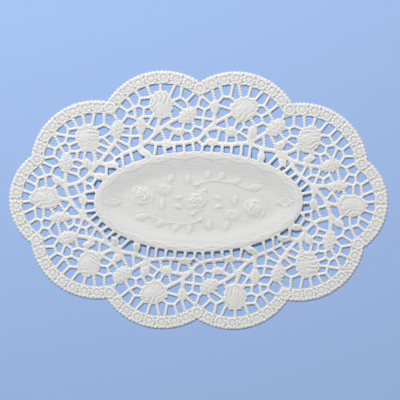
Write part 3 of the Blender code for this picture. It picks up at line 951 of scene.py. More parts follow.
def leaf_lift(x, y, leaf, detailed):
    """The height of a leaf, with a groove along its middle and veins where it is toothed."""
    along, across = along_and_across(x, y, leaf)
    depth = np.clip(-full_leaf_distance(x, y, leaf) / (leaf.width / 2 + LEAF_FILL), 0, 1)
    lift = LEAF_CROWN * crown(1 - depth)
    if detailed:
        reach = np.clip(1 - np.abs(along) / (MIDRIB_REACH * leaf.length), 0, 1) ** 0.5
        lift = lift - MIDRIB_DEPTH * np.exp(-(across / MIDRIB_SPREAD) ** 2) * reach
        if leaf.teeth:
            veins = np.cos(2 * math.pi * (along - VEIN_SLANT * np.abs(across)) / VEIN_PITCH)
            lift = lift + VEIN_DEPTH * veins * crown(1 - depth)
    return np.clip(lift, 0, None)


def motif_lift(points, detailed):
    """The height of the roses and leaves of the net."""
    lift = np.zeros(len(points))
    for table, shape in ((ROSES, rose_lift), (LEAVES, leaf_lift)):
        for motif in both_halves(table):
            away = np.hypot(points[:, 0] - motif.x, points[:, 1] - motif.y)
            near = np.nonzero(away < motif.length / 2 + MOTIF_MARGIN)[0]
            height = shape(*points[near].T, motif, detailed)
            lift[near] = np.maximum(lift[near], height)
    return lift


def line_distance(points, line):
    """Distance from points to an open line."""
    distance = np.full(len(points), FAR)
    for start, end in zip(line, line[1:]):
        distance = np.minimum(distance, segment_distance(*points.T, start, end))
    return distance


def shares_of(x, y, motif):
    """Coordinates along a motif and across it, 1 at its ends and sides."""
    along, across = along_and_across(x, y, motif)
    return along / (motif.length / 2), across / (motif.width / 2)


def leaf_depth(x, y, leaf):
    """How far inside a leaf a place lies: 0 at its edge, 1 in its middle."""
    return np.clip(-leaf_distance(x, y, leaf) / (leaf.width / 2), 0, 1)


def spray_rose_lift(x, y, rose):
    """The height of a rose of the spray: a soft dome with arcs of petals round its heart."""
    u, v = shares_of(x, y, rose)
    du, dv = u - SPRAY_ROSE_MIDDLE[0], v - SPRAY_ROSE_MIDDLE[1]
    angle = np.arctan2(dv, du)
    ring = np.hypot(du, dv) * rose.width / 2 / SPRAY_PETAL_PITCH
    ring = ring + SPRAY_PETAL_SWAY * np.sin(2 * angle + rose.x)
    arcs = np.abs(np.sin(math.pi * ring)) ** SPRAY_PETAL_EDGE
    around = SPRAY_PETALS * angle + SPRAY_PETAL_TURN * np.floor(ring)
    facing = (SPRAY_PETAL_MIDDLE + SPRAY_PETAL_LEAN * np.sin(angle)
              + SPRAY_PETAL_SPAN * np.sin(around))
    ruffle = 1 + SPRAY_ROSE_RUFFLE_DEPTH * np.cos(SPRAY_ROSE_RUFFLES * angle)
    dome = soft(np.hypot(u, v) * ruffle)
    petals = SPRAY_PETAL_STEP * arcs * np.clip(facing, 0, 1)
    return SPRAY_ROSE_HEIGHT * dome + petals * dome ** SPRAY_PETAL_FADE


def spray_leaf_lift(x, y, leaf):
    """The height of a leaf of the spray, with a groove along its middle."""
    across = along_and_across(x, y, leaf)[1]
    depth = leaf_depth(x, y, leaf)
    groove = 1 - SPRAY_MIDRIB * np.exp(-(across / SPRAY_MIDRIB_SPREAD) ** 2)
    return SPRAY_HEIGHT * smoothstep(*SPRAY_LEAF_FADE, depth) * groove * (depth > 0)


def burst_lift(x, y, burst):
    """The height of a small open flower: rays round a middle."""
    u, v = shares_of(x, y, burst)
    level = np.hypot(u, v)
    rays = 0.5 + 0.5 * np.cos(BURST_RAYS * np.arctan2(v, u))
    height = 1 - BURST_RAY_DEPTH + BURST_RAY_DEPTH * rays * smoothstep(*BURST_RAY_FADE, level)
    return BURST_HEIGHT * np.sqrt(soft(level)) * height


def end_lift(x, y, leaf):
    """The height of the lens at either end of the spray, one outline inside another."""
    depth = leaf_depth(x, y, leaf)
    return END_HEIGHT * np.abs(np.sin(math.pi * depth * END_RINGS)) * smoothstep(*END_FADE, depth)


def spray_lift(points):
    """The height of the spray of flowers in the closed centre, above its floor."""
    lift = spray_rose_lift(*points.T, SPRAY_HEART)
    shapes = ((SPRAY_LEAVES, spray_leaf_lift), (SPRAY_ROSES, spray_rose_lift),
              (SPRAY_BURSTS, burst_lift), (SPRAY_ENDS, end_lift))
    for side in (1, -1):
        turned = side * points
        for table, shape in shapes:
            for motif in table:
                lift = np.maximum(lift, shape(*turned.T, motif))
        for stem in SPRAY_STEMS:
            away = line_distance(turned, smooth_route(stem))
            lift = np.maximum(lift, SPRAY_STEM_HEIGHT * soft(away / SPRAY_STEM_HALF_WIDTH))
    return lift


def centre_lift(points, detailed):
    """The height of the closed centre: a thin raised edge, a rim and a shallow dish."""
    depth = oval_depth(*points.T)
    edge = CENTRE_EDGE * crown((depth - CENTRE_EDGE_HALF) / CENTRE_EDGE_HALF)
    rim = CENTRE_RIM * smoothstep(*CENTRE_RIM_FADE, depth)
    lift = edge + rim * (1 - smoothstep(*DISH, depth))
    if detailed:
        lift = lift + spray_lift(points) * smoothstep(*SPRAY_FADE, depth - RIM_WIDTH)
    return np.where(depth > 0, lift, 0)


def swell(points):
    """How far the whole sheet rises towards the closed centre's rim, and sinks again inside."""
    depth = oval_depth(*points.T)
    outer = 1 - smoothstep(0, SWELL_REACH, -depth)
    return CENTRE_SWELL * outer * (1 - smoothstep(*DISH, depth))


def sheet_lift(points, detailed):
    """The height of all the relief that is not made by following a path."""
    edge = edge_distance(*points.T)
    inside = np.minimum(-edge, edge + BAND_WIDTH)
    band = BAND_LIFT * smoothstep(*BAND_LIFT_FADE, inside)
    return np.maximum.reduce([band, motif_lift(points, detailed), centre_lift(points, detailed)])


# The points of the mesh, and the zones that decide what is pressed on them: each fade runs from
# the first distance, where the zone has not begun, to the second, where it is full
BAND_FADE = (-0.6, 0.2)
BLOOM_FADE = (-0.9, 0.3)
OUTSIDE_FADE = (0.5, -0.6)
OVAL_FADE = (0, 0.8)
LEAF_FADE = (-0.4, -1.2)
STITCHES_ON_BAND = 0.6


class Scatter:
    """Collects points that keep their distance from each other."""

    def __init__(self):
        self.cells = {}
        self.points = []

    def near(self, x, y, gap):
        """Whether a point already lies within the gap."""
        column, row = int(x // GRID_CELL), int(y // GRID_CELL)
        for r in (row - 1, row, row + 1):
            for c in (column - 1, column, column + 1):
                for px, py in self.cells.get((r, c), ()):
                    if (px - x) ** 2 + (py - y) ** 2 < gap * gap:
                        return True
        return False

    def add(self, points, gap):
        """Take the points in order, leaving out those within the gap of one already taken."""
        for x, y in points.tolist():
            if not gap or not self.near(x, y, gap):
                key = int(y // GRID_CELL), int(x // GRID_CELL)
                self.cells.setdefault(key, []).append((x, y))
                self.points.append((x, y))


def staggered(spacing, half_length, half_width):
    """Points in staggered rows over a rectangle, the corners of equal triangles."""
    rows = np.arange(-half_width, half_width, spacing * math.sqrt(0.75))
    points = []
    for number, y in enumerate(rows):
        x = np.arange(-half_length + number % 2 * spacing / 2, half_length, spacing)
        points.append(np.stack([x, np.full(len(x), y)], 1))
    return np.vstack(points)


def beside(line, side):
    """A line moved sideways."""
    slope = np.gradient(line, axis=0)
    slope /= np.linalg.norm(slope, axis=1)[:, None] + TINY
    return line + side * np.stack([-slope[:, 1], slope[:, 0]], 1)


class Layout:
    """The doily in plan: its cords, its cut edges, and what lies where."""

    def __init__(self):
        self.bars = [np.array(bar) for bar in net_layout()]
        self.stems = stem_routes()
        samples = self.samples = Samples(TRACE_STEP)
        paper = solid_distance(samples, BAND_WIDTH, STEM_WIDTH, full_leaf_distance)
        add_strokes(samples, paper, self.bars, BAR_WIDTH)
        self.paper = rounded_holes(samples, paper)
        self.leaves = table_distance(samples, ((LEAVES, full_leaf_distance),))
        self.blooms = np.minimum(self.leaves, table_distance(samples, ((ROSES, rose_distance),)))
        loops = [loop for loop in traced_loops(samples, self.paper)
                 if -signed_area(loop) >= SMALLEST_HOLE]
        outline = pearled_outline()
        if signed_area(outline) < 0:
            outline = outline[::-1]
        self.loops = [outline] + [corner_spaced(loop) for loop in loops]

    def inside(self, points, gap):
        """The points that lie in paper, at least a gap from its edges."""
        depth = np.minimum(-self.samples.read(self.paper, points), -edge_distance(*points.T))
        return points[depth > gap]

    def in_band(self, points):
        """Whether each point lies in the border."""
        return edge_distance(*points.T) > -BAND_WIDTH

    def in_bloom(self, points):
        """Whether each point lies in a rose or a leaf."""
        return self.samples.read(self.blooms, points) < 0

    def in_centre(self, points):
        """Whether each point lies in the closed centre."""
        return oval_depth(*points.T) > 0

    def in_spray(self, points):
        """Whether each point lies in the flowers of the closed centre."""
        return self.in_centre(points) & (spray_lift(points) > 0)

    def out_of_centre(self, points):
        """Whether each point lies outside the closed centre."""
        return ~self.in_centre(points)

    def cord_points(self, spacing, sides):
        """Points in rows along the bars and stems, outside the blooms, the centre and the band."""
        rows = []
        for side in sides:
            for line in self.stems + self.bars:
                line = evenly_spaced(line, spacing)
                rows.append(beside(line, side) if side else line)
        points = np.vstack(rows)
        taken = self.in_band(points) | self.in_bloom(points) | self.in_centre(points)
        return points[~taken]

    def laid(self, rows):
        """The points of the cut edges, then those of the rows that keep their distance."""
        scatter = Scatter()
        scatter.add(np.vstack(self.loops), 0)
        for laying, points in rows:
            scatter.add(self.inside(points, laying.edge), laying.gap)
        return np.array(scatter.points)

    def upper_points(self):
        """The points of the embossed side."""
        border = [evenly_spaced(np.vstack(scallop_lines(depth)), BORDER_ROWS.spacing, closed=True)
                  for depth in np.arange(BORDER_START, BAND_WIDTH, BORDER_ROWS.spacing)]
        rim = [evenly_spaced(oval_line(depth), RIM_ROWS.spacing, closed=True)
               for depth in np.arange(RIM_START, RIM_WIDTH + RIM_START, RIM_ROWS.spacing)]

        def over(laying, reach, zone):
            """An even grid of points over one zone."""
            grid = staggered(laying.spacing, *reach)
            return laying, grid[zone(grid)]

        return self.laid([
            (BORDER_ROWS, np.vstack(border)),
            (CORD_MIDDLES, self.cord_points(CORD_MIDDLES.spacing, [0])),
            (CORD_SIDES, self.cord_points(CORD_SIDES.spacing, [CORD_SIDE, -CORD_SIDE])),
            over(BLOOMS, SHEET_REACH, self.in_bloom),
            (RIM_ROWS, np.vstack(rim)),
            over(SPRAY, CENTRE_REACH, self.in_spray),
            over(CENTRE, CENTRE_REACH, self.in_centre),
            over(NET, SHEET_REACH, self.out_of_centre),
        ])

    def under_points(self):
        """The points of the underside, further apart."""
        return self.laid([
            (UNDER_CORDS, self.cord_points(UNDER_CORDS.spacing, [0])),
            (UNDER_REST, staggered(UNDER_REST.spacing, *SHEET_REACH)),
        ])


def triangles(points, loops):
    """Triangles between the points, to the left of every loop. The loops' points come first."""
    edges = []
    loop_of = np.full(len(points), -1)
    turn = np.zeros(len(points), int)
    start = 0
    for number, loop in enumerate(loops):
        count = len(loop)
        edges += [(start + n, start + (n + 1) % count) for n in range(count)]
        loop_of[start:start + count] = number
        turn[start:start + count] = np.arange(count)
        start += count
    vectors = [Vector(point) for point in points.tolist()]
    _, _, faces, origins, _, _ = delaunay_2d_cdt(vectors, edges, [], 0, MERGE_GAP)
    if any(not origin for origin in origins):
        raise RuntimeError("the edges of the paper cross each other")
    faces = np.array([origin[0] for origin in origins])[np.array(faces)]
    owner = loop_of[faces]
    one_loop = (owner[:, 0] >= 0) & (owner[:, 0] == owner[:, 1]) & (owner[:, 1] == owner[:, 2])
    turns = turn[faces]
    forwards = (turns < np.roll(turns, -1, axis=1)).sum(1) == 2
    return faces[~one_loop | forwards]


def in_space(plan):
    """Coordinates in the plan, with 0 for the third."""
    return np.column_stack([plan, np.zeros(len(plan))])


def new_object(name, data):
    """An object in the scene, at its origin."""
    made = bpy.data.objects.new(name, data)
    bpy.context.scene.collection.objects.link(made)
    return made


def values_of(items, name, width=1, kind=float):
    """One property of all the items of a mesh, in rows where it is wider than one number."""
    values = np.zeros(len(items) * width, kind)
    items.foreach_get(name, values)
    return values.reshape(-1, width) if width > 1 else values


def store(mesh, name, values):
    """Keep a number or a vector for each vertex."""
    kind, field = ("FLOAT", "value") if values.ndim == 1 else ("FLOAT_VECTOR", "vector")
    attribute = mesh.attributes.new(name, kind, "POINT")
    attribute.data.foreach_set(field, values.astype(np.float32).ravel())


def sheet_mesh(layout):
    """The flat sheet: an upper face, an underside and the cut edges between them, with what the
    embossing needs to know at each vertex. Also how many of its last faces are cut edges."""
    upper, under = layout.upper_points(), layout.under_points()
    walls = []
    start = 0
    for loop in layout.loops:
        a = start + np.arange(len(loop))
        b = start + (np.arange(len(loop)) + 1) % len(loop)
        walls.append(np.stack([a + len(upper), b + len(upper), b], 1))
        walls.append(np.stack([a + len(upper), b, a], 1))
        start += len(loop)
    walls = np.vstack(walls)
    points = np.vstack([upper, under])
    faces = np.vstack([triangles(upper, layout.loops),
                       triangles(under, layout.loops)[:, ::-1] + len(upper), walls])
    mesh = bpy.data.meshes.new(SHEET)
    mesh.from_pydata(in_space(points * MM).tolist(), [], faces.tolist())
    band = smoothstep(*BAND_FADE, edge_distance(*points.T) + BAND_WIDTH)
    bloom = layout.samples.read(layout.blooms, points)
    leaf = layout.samples.read(layout.leaves, points)
    oval = oval_depth(*points.T)
    values = {
        "upper": np.repeat([1.0, 0.0], [len(upper), len(under)]),
        "stitched": np.clip(smoothstep(*LEAF_FADE, leaf) + STITCHES_ON_BAND * band, 0, 1),
        "lift": np.concatenate([sheet_lift(upper, True), sheet_lift(under, False)]) * MM,
        "band": band,
        "cord": smoothstep(*BLOOM_FADE, bloom) * smoothstep(*OUTSIDE_FADE, oval) * (1 - band),
        "swell": swell(points) * MM,
        "oval": smoothstep(*OVAL_FADE, oval),
    }
    for name, value in values.items():
        store(mesh, name, value)
    return mesh, len(walls)


def line_object(name, lines, closed=False):
    """A curve of straight pieces through each line."""
    curve = bpy.data.curves.new(name, "CURVE")
    curve.dimensions = "3D"
    for line in lines:
        spline = curve.splines.new("POLY")
        spline.points.add(len(line) - 1)
        places = np.column_stack([in_space(line * MM), np.ones(len(line))])
        spline.points.foreach_set("co", places.ravel())
        spline.use_cyclic_u = closed
    return new_object(name, curve)


def cord_object(layout):
    """The middle lines of the bars and stems as loose edges. Each vertex knows how far along its
    cord it lies, which way the cord runs, and half the cord's width."""
    points, edges, along, way, half = [], [], [], [], []
    for lines, width in ((layout.stems, STEM_WIDTH), (layout.bars, BAR_WIDTH)):
        for line in lines:
            line = evenly_spaced(line, CORD_STEP)
            start = sum(map(len, points))
            points.append(line)
            edges += [(start + n, start + n + 1) for n in range(len(line) - 1)]
            along.append(way_along(line))
            slope = np.gradient(line, axis=0)
            way.append(slope / np.linalg.norm(slope, axis=1)[:, None])
            half.append(np.full(len(line), width / 2))
    mesh = bpy.data.meshes.new("cord lines")
    mesh.from_pydata(in_space(np.vstack(points) * MM).tolist(), edges, [])
    store(mesh, "along", np.concatenate(along) * MM)
    store(mesh, "half_width", np.concatenate(half) * MM)
    store(mesh, "way", in_space(np.vstack(way)))
    return new_object("cord lines", mesh)


# Node trees
def operator(operation, reflected=False):
    """A method that adds a Math node for a wire and another value, in that order or reflected."""
    if reflected:
        return lambda wire, other: wire.math(operation, other, wire)
    return lambda wire, other: wire.math(operation, wire, other)


def function(operation):
    """A method that adds a Math node for a wire alone."""
    return lambda wire: wire.math(operation, wire)


class Wire:
    """An output socket that takes part in arithmetic: each operation adds its node."""

    def __init__(self, nodes, socket):
        self.nodes = nodes
        self.socket = socket

    def math(self, operation, *values, clamp=False):
        """One Math node on these values."""
        settings = {"operation": operation, "use_clamp": clamp}
        return self.nodes.add("ShaderNodeMath", settings, dict(enumerate(values)))

    __add__ = __radd__ = operator("ADD")
    __mul__ = __rmul__ = operator("MULTIPLY")
    __sub__, __rsub__ = operator("SUBTRACT"), operator("SUBTRACT", reflected=True)
    __truediv__, __rtruediv__ = operator("DIVIDE"), operator("DIVIDE", reflected=True)
    __pow__, __rpow__ = operator("POWER"), operator("POWER", reflected=True)
    __mod__, __rmod__ = operator("MODULO"), operator("MODULO", reflected=True)
    largest, least = operator("MAXIMUM"), operator("MINIMUM")
    absolute, sine, rounded = function("ABSOLUTE"), function("SINE"), function("ROUND")

    def clipped(self):
        """Kept from 0 to 1."""
        return self.math("ADD", self, 0.0, clamp=True)


class Nodes:
    """Adds nodes to a tree, each with its settings and the values or wires of its sockets."""

    def __init__(self, tree):
        self.tree = tree

    def add(self, kind, settings=None, inputs=None, output=0):
        """A new node's output as a wire, or the node itself where output is None."""
        node = self.tree.nodes.new(kind)
        for name, value in (settings or {}).items():
            setattr(node, name, value)
        for key, value in (inputs or {}).items():
            for one in value if isinstance(value, list) else [value]:
                if isinstance(one, Wire):
                    self.tree.links.new(one.socket, node.inputs[key])
                else:
                    node.inputs[key].default_value = one
        return node if output is None else Wire(self, node.outputs[output])

    def wire(self, node, output):
        """Another output of a node."""
        return Wire(self, node.outputs[output])

    def vector(self, operation, *values, output=0, **named):
        """One Vector Math node on these vectors."""
        return self.add("ShaderNodeVectorMath", {"operation": operation},
                        dict(enumerate(values)) | named, output)

    def attribute(self, name, kind="FLOAT"):
        """A named attribute of the geometry."""
        return self.add("GeometryNodeInputNamedAttribute", {"data_type": kind}, {"Name": name})


# The embossing: the kinds of its inputs, how much higher the beads stand than their ring, where
# the braid's eyes begin and how far they swing, and the share of the relief that the underside
# follows, sunk by a few hundredths of a millimetre so that it comes back to the floor
SOCKET_KINDS = {int: "NodeSocketInt", float: "NodeSocketFloat",
                bpy.types.Object: "NodeSocketObject", bpy.types.Material: "NodeSocketMaterial"}
UP = (0.0, 0.0, 1.0)
BEAD_RISE = 2.1
INNER_START = 0.6
INNER_SWING = 1.1
UNDER_BORDER = 0.35
UNDER_SHARE = 0.8
UNDER_SINK = 0.05


def dome(distance, radius, height):
    """A rounded height over a place: full in the middle, none past the radius."""
    share = (distance / radius).least(1.0)
    return (1.0 - share * share) ** 0.5 * height


def path_of(nodes, lines):
    """The geometry of an object that holds lines."""
    return nodes.add("GeometryNodeObjectInfo", None, {"Object": lines}, "Geometry")


def points_of(nodes, path):
    """The points of a path, and the directions it runs in there."""
    points = nodes.add("GeometryNodeCurveToPoints", {"mode": "EVALUATED"}, {"Curve": path}, None)
    return nodes.wire(points, "Points"), nodes.wire(points, "Tangent")


def distance_to(nodes, target, element):
    """The distance from each vertex to the nearest point or edge of some geometry."""
    return nodes.add("GeometryNodeProximity", {"target_element": element},
                     {"Geometry": target}, "Distance")


def along_path(nodes, points, tangent, shape):
    """Copies of a shape at points, turned to run with the path, as plain geometry."""
    turn = nodes.add("FunctionNodeAlignRotationToVector", {"axis": "X", "pivot_axis": "Z"},
                     {"Vector": tangent})
    copies = nodes.add("GeometryNodeInstanceOnPoints", None,
                       {"Points": points, "Instance": shape, "Rotation": turn})
    return nodes.add("GeometryNodeRealizeInstances", None, {"Geometry": copies})


def rosette_relief(nodes, given):
    """A beaded ring round a boss at every step along the border, and pits between the rings."""
    path = path_of(nodes, given["Rosette Lines"])
    length = nodes.add("GeometryNodeSplineLength")
    steps = (length / given["Rosette Pitch"]).rounded()
    whole = nodes.add("GeometryNodeResampleCurve", {"mode": "COUNT"},
                      {"Curve": path, "Count": steps + 1.0})
    middles, tangent = points_of(nodes, whole)
    circle = nodes.add("GeometryNodeMeshCircle", None,
                       {"Vertices": given["Ring Beads"], "Radius": given["Ring Radius"]})
    beads = along_path(nodes, middles, tangent, circle)
    away = distance_to(nodes, middles, "POINTS")
    ring = dome((away - given["Ring Radius"]).absolute(), given["Ring Half Width"],
                given["Ring Height"])
    bead = dome(distance_to(nodes, beads, "POINTS"), given["Bead Radius"],
                given["Ring Height"] * BEAD_RISE)
    boss = dome(away, given["Boss Radius"], given["Boss Height"])
    halves = nodes.add("GeometryNodeResampleCurve", {"mode": "COUNT"},
                       {"Curve": path, "Count": steps * 2.0 + 1.0})
    index = nodes.add("GeometryNodeSplineParameter", None, None, "Index")
    even = nodes.add("FunctionNodeCompare", {"data_type": "FLOAT", "operation": "LESS_THAN"},
                     {"A": index % 2.0, "B": 0.5})
    odd = nodes.add("GeometryNodeDeleteGeometry", {"domain": "POINT"},
                    {"Geometry": halves, "Selection": even})
    between, tangent = points_of(nodes, odd)
    reach = nodes.add("ShaderNodeCombineXYZ", None, {"Y": given["Pit Offset"]})
    pair = nodes.add("GeometryNodeMeshLine", {"mode": "END_POINTS"},
                     {"Count": 2, "Start Location": reach,
                      "Offset": nodes.vector("SCALE", reach, Scale=-1.0)})
    pits = along_path(nodes, between, tangent, pair)
    pit = dome(distance_to(nodes, pits, "POINTS"), given["Pit Radius"], given["Pit Depth"])
    return ring.largest(bead).largest(boss), pit


def pearl_relief(nodes, given):
    """A pearl at every point of the edge's line, and small beads along the inner rim."""
    pearls, _ = points_of(nodes, path_of(nodes, given["Pearl Lines"]))
    pearl = dome(distance_to(nodes, pearls, "POINTS"), given["Pearl Radius"],
                 given["Pearl Height"])
    length = nodes.add("GeometryNodeSplineLength")
    count = (length / given["Rim Pitch"]).rounded()
    rim = nodes.add("GeometryNodeResampleCurve", {"mode": "COUNT"},
                    {"Curve": path_of(nodes, given["Rim Lines"]), "Count": count + 1.0})
    beads, _ = points_of(nodes, rim)
    bead = dome(distance_to(nodes, beads, "POINTS"), given["Rim Radius"], given["Rim Height"])
    return pearl.largest(bead)


def braid_relief(nodes, given):
    """Two strands that swing from side to side of a line and cross in a chain of loops, and a
    small eye inside each loop."""
    path = path_of(nodes, given["Braid Line"])
    turn = nodes.add("GeometryNodeSplineParameter", None, None, "Factor")
    wave = (turn * given["Braid Loops"] * math.pi + math.pi / 2).sine()
    inner = (wave.absolute() - INNER_START).largest(0.0) * INNER_SWING
    tangent = nodes.add("GeometryNodeInputTangent")
    across = nodes.vector("CROSS_PRODUCT", tangent, UP)
    strands = []
    for swing in (wave, wave * -1.0, inner, inner * -1.0):
        offset = nodes.vector("SCALE", across, Scale=swing * given["Braid Swing"])
        moved = nodes.add("GeometryNodeSetPosition", None, {"Geometry": path, "Offset": offset})
        strands.append(nodes.add("GeometryNodeCurveToMesh", None, {"Curve": moved}))
    joined = nodes.add("GeometryNodeJoinGeometry", None, {"Geometry": strands})
    return dome(distance_to(nodes, joined, "EDGES"), given["Braid Half Width"],
                given["Braid Height"])


def cord_relief(nodes, given):
    """A rounded cord over every bar and stem. Also the place along the nearest cord and across
    it, for the twist."""
    cords = path_of(nodes, given["Cord Lines"])
    here = nodes.add("GeometryNodeInputPosition")
    nearest = nodes.add("GeometryNodeSampleNearest", {"domain": "POINT"}, {"Geometry": cords})

    def sampled(value, kind="FLOAT"):
        """A value at the nearest point of the cords."""
        return nodes.add("GeometryNodeSampleIndex", {"data_type": kind, "domain": "POINT"},
                         {"Geometry": cords, "Value": value, "Index": nearest})

    half = sampled(nodes.attribute("half_width"))
    way = sampled(nodes.attribute("way", "FLOAT_VECTOR"), "FLOAT_VECTOR")
    place = sampled(here, "FLOAT_VECTOR")
    offset = nodes.vector("SUBTRACT", here, place)
    ahead = nodes.vector("DOT_PRODUCT", offset, way, output="Value")
    beside_way = nodes.vector("CROSS_PRODUCT", way, UP)
    across = nodes.vector("DOT_PRODUCT", offset, beside_way, output="Value")
    along = sampled(nodes.attribute("along")) + ahead
    lift = dome(distance_to(nodes, cords, "EDGES"), half, given["Cord Height"])
    spot = nodes.add("ShaderNodeCombineXYZ", None, {"X": along, "Y": across})
    return lift, spot


def emboss_tree(values):
    """The embossing die: presses cords, rosettes, pearls and the braid into the flat sheet. It
    has an input for the geometry and one for each of the values."""
    tree = bpy.data.node_groups.new("Emboss", "GeometryNodeTree")
    tree.is_modifier = True
    tree.interface.new_socket("Geometry", in_out="OUTPUT", socket_type="NodeSocketGeometry")
    tree.interface.new_socket("Geometry", in_out="INPUT", socket_type="NodeSocketGeometry")
    for name, value in values.items():
        kind = next(kind for base, kind in SOCKET_KINDS.items() if isinstance(value, base))
        tree.interface.new_socket(name, in_out="INPUT", socket_type=kind)
    nodes = Nodes(tree)
    source = nodes.add("NodeGroupInput", output=None)
    given = {name: nodes.wire(source, name) for name in ("Geometry", *values)}
    upper = nodes.attribute("upper")
    band = nodes.attribute("band")
    rosettes, pits = rosette_relief(nodes, given)
    border = rosettes.largest(pearl_relief(nodes, given)) - pits
    cords, spot = cord_relief(nodes, given)
    braid = braid_relief(nodes, given) * nodes.attribute("oval") * upper
    softer = UNDER_BORDER + (1 - UNDER_BORDER) * upper
    relief = nodes.attribute("lift") + border * band * softer + braid
    relief = relief.largest(cords * nodes.attribute("cord"))
    over = given["Level"] + relief
    below = (relief * UNDER_SHARE - UNDER_SINK * MM).largest(0.0)
    height = nodes.attribute("swell") + below + (over - below) * upper
    offset = nodes.add("ShaderNodeCombineXYZ", None, {"Z": height})
    pressed = nodes.add("GeometryNodeSetPosition", None,
                        {"Geometry": given["Geometry"], "Offset": offset})
    kept = nodes.add("GeometryNodeStoreNamedAttribute",
                     {"data_type": "FLOAT_VECTOR", "domain": "POINT"},
                     {"Geometry": pressed, "Name": "cord_spot", "Value": spot})
    whole = nodes.add("GeometryNodeRealizeInstances", None, {"Geometry": kept})
    done = nodes.add("GeometryNodeSetMaterial", None,
                     {"Geometry": whole, "Material": given["Material"]})
    nodes.add("NodeGroupOutput", None, {"Geometry": done}, None)
    return tree


def set_inputs(modifier, values):
    """Give a tree's inputs their values, by their sockets' identifiers."""
    for item in modifier.node_group.interface.items_tree:
        if item.item_type == "SOCKET" and item.in_out == "INPUT" and item.name in values:
            modifier[item.identifier] = values[item.name]


def plain_mesh(piece):
    """Turn a piece's modifiers into its mesh."""
    evaluated = piece.evaluated_get(bpy.context.evaluated_depsgraph_get())
    mesh = bpy.data.meshes.new_from_object(evaluated)
    piece.modifiers.clear()
    piece.data = mesh
    mesh.name = piece.name


# Edges shorter than this in the plan say nothing of a hollow, and where the place along a cord
# changes by more than this share of an edge, the edge runs from one cord to another.
LEAST_RUN = 0.1
SEAM_STRETCH = 1.6


def soften_shading(mesh, walls):
    """Smooth faces, with a sharp line where the paper is cut."""
    mesh.polygons.foreach_set("use_smooth", np.ones(len(mesh.polygons), bool))
    wall = values_of(mesh.polygons, "vertices", 3, int)[-walls:]
    cuts = {tuple(sorted(pair)) for pair in wall[:, :2].tolist() + wall[:, 1:].tolist()}
    ends = values_of(mesh.edges, "vertices", 2, int)
    upper = values_of(mesh.attributes["upper"].data, "value")[ends]
    sharp = [flat and tuple(sorted(pair)) in cuts
             for pair, flat in zip(ends.tolist(), (upper[:, 0] == upper[:, 1]).tolist())]
    mesh.edges.foreach_set("use_edge_sharp", sharp)
    mesh.update()


def mark_hollows(mesh):
    """Store how far each vertex lies below its neighbours, as a share of its distance to them. The
    paper paints shade where this is high and highlight where it is low.
    """
    points = values_of(mesh.vertices, "co", 3)
    ends = values_of(mesh.edges, "vertices", 2, int)
    run = points[ends[:, 1]] - points[ends[:, 0]]
    reach = np.hypot(run[:, 0], run[:, 1])
    known = reach > LEAST_RUN * MM
    ends, rise = ends[known], run[known, 2] / reach[known]
    total = np.zeros(len(points))
    count = np.full(len(points), TINY)
    for column, sign in ((0, 1), (1, -1)):
        np.add.at(total, ends[:, column], sign * rise)
        np.add.at(count, ends[:, column], 1)
    store(mesh, "hollow", total / count)


def mark_seams(mesh):
    """Store where a cord's twist runs on: not between vertices that follow different cords."""
    ends = values_of(mesh.edges, "vertices", 2, int)
    fields = (values_of(mesh.attributes["cord_spot"].data, "vector", 3),
              values_of(mesh.vertices, "co", 3))
    moved, away = [np.linalg.norm(field[ends[:, 1]] - field[ends[:, 0]], axis=1)
                   for field in fields]
    twisted = np.ones(len(mesh.vertices))
    twisted[ends[moved > SEAM_STRETCH * away]] = 0
    store(mesh, "twisted", twisted)


# Finishes: the noises, the twist and the stitches, and how far one tone gives way to another, among
# them painted shade and painted highlight
Noise = namedtuple("Noise", "scale detail roughness")
CLOUDS = Noise(90.0, 3.0, 0.5)
CREPE = Noise(1.0, 3.0, 0.6)
CREPE_SCALE = (70.0, 700.0, 70.0)
FIBRES = Noise(1400.0, 4.0, 0.6)
CARD_GRAIN = Noise(800.0, 2.0, 0.5)
TWIST_SLANT = 0.6
STITCH_SCATTER = 0.7
GAP_START = 0.48
GAP_CONTRAST = 3.2
# Painted highlight on the cords, following their twist, and on the leaves
CORD_HIGHLIGHT = 0.85
CORD_HIGHLIGHT_BY_TWIST = 0.15
BLOOM_HIGHLIGHT = 0.2
# Painted shade in the hollows of the embossing
HOLLOW_SHADE = 9.0
HOLLOW_SHADE_LESS_IN_BAND = 3.0
HOLLOW_SHADE_LESS_IN_CENTRE = 0.4
HOLLOW_SHADE_LESS_IN_CORDS = 0.85
# Painted highlight on the ridges of the embossing
RIDGE_HIGHLIGHT = 5.0
RIDGE_HIGHLIGHT_LESS_IN_CORDS = 2.5
# Painted shade in the stitches' gaps
GAP_SHADE = 0.22
GAP_SHADE_MORE_IN_BAND = 0.2
# Painted shade in the troughs of the cords' twist
TWIST_SHADE = 0.12
CLOUD_START = 0.42
CLOUD_TONE = 0.5
CARD_TONE = 0.05
WHITE = (1.0, 1.0, 1.0)

# The places of the colours among a Mix node's sockets
MIX_FIRST, MIX_SECOND, MIX_RESULT = 6, 7, 2


def new_material(name, roughness, specular):
    """A material's nodes, its shader, the place on the object, and the material itself."""
    material = bpy.data.materials.new(name)
    material.use_nodes = True
    nodes = Nodes(material.node_tree)
    shader = material.node_tree.nodes["Principled BSDF"]
    shader.inputs["Roughness"].default_value = roughness
    shader.inputs["Specular IOR Level"].default_value = specular
    return nodes, shader, nodes.add("ShaderNodeTexCoord", None, None, "Object"), material


def connect(nodes, shader, **wires):
    """Feed the shader's sockets."""
    for name, wire in wires.items():
        nodes.tree.links.new(wire.socket, shader.inputs[name.replace("_", " ")])


def noise(nodes, place, kind):
    """The strength of a noise."""
    return nodes.add("ShaderNodeTexNoise", None,
                     {"Vector": place, "Scale": kind.scale, "Detail": kind.detail,
                      "Roughness": kind.roughness})


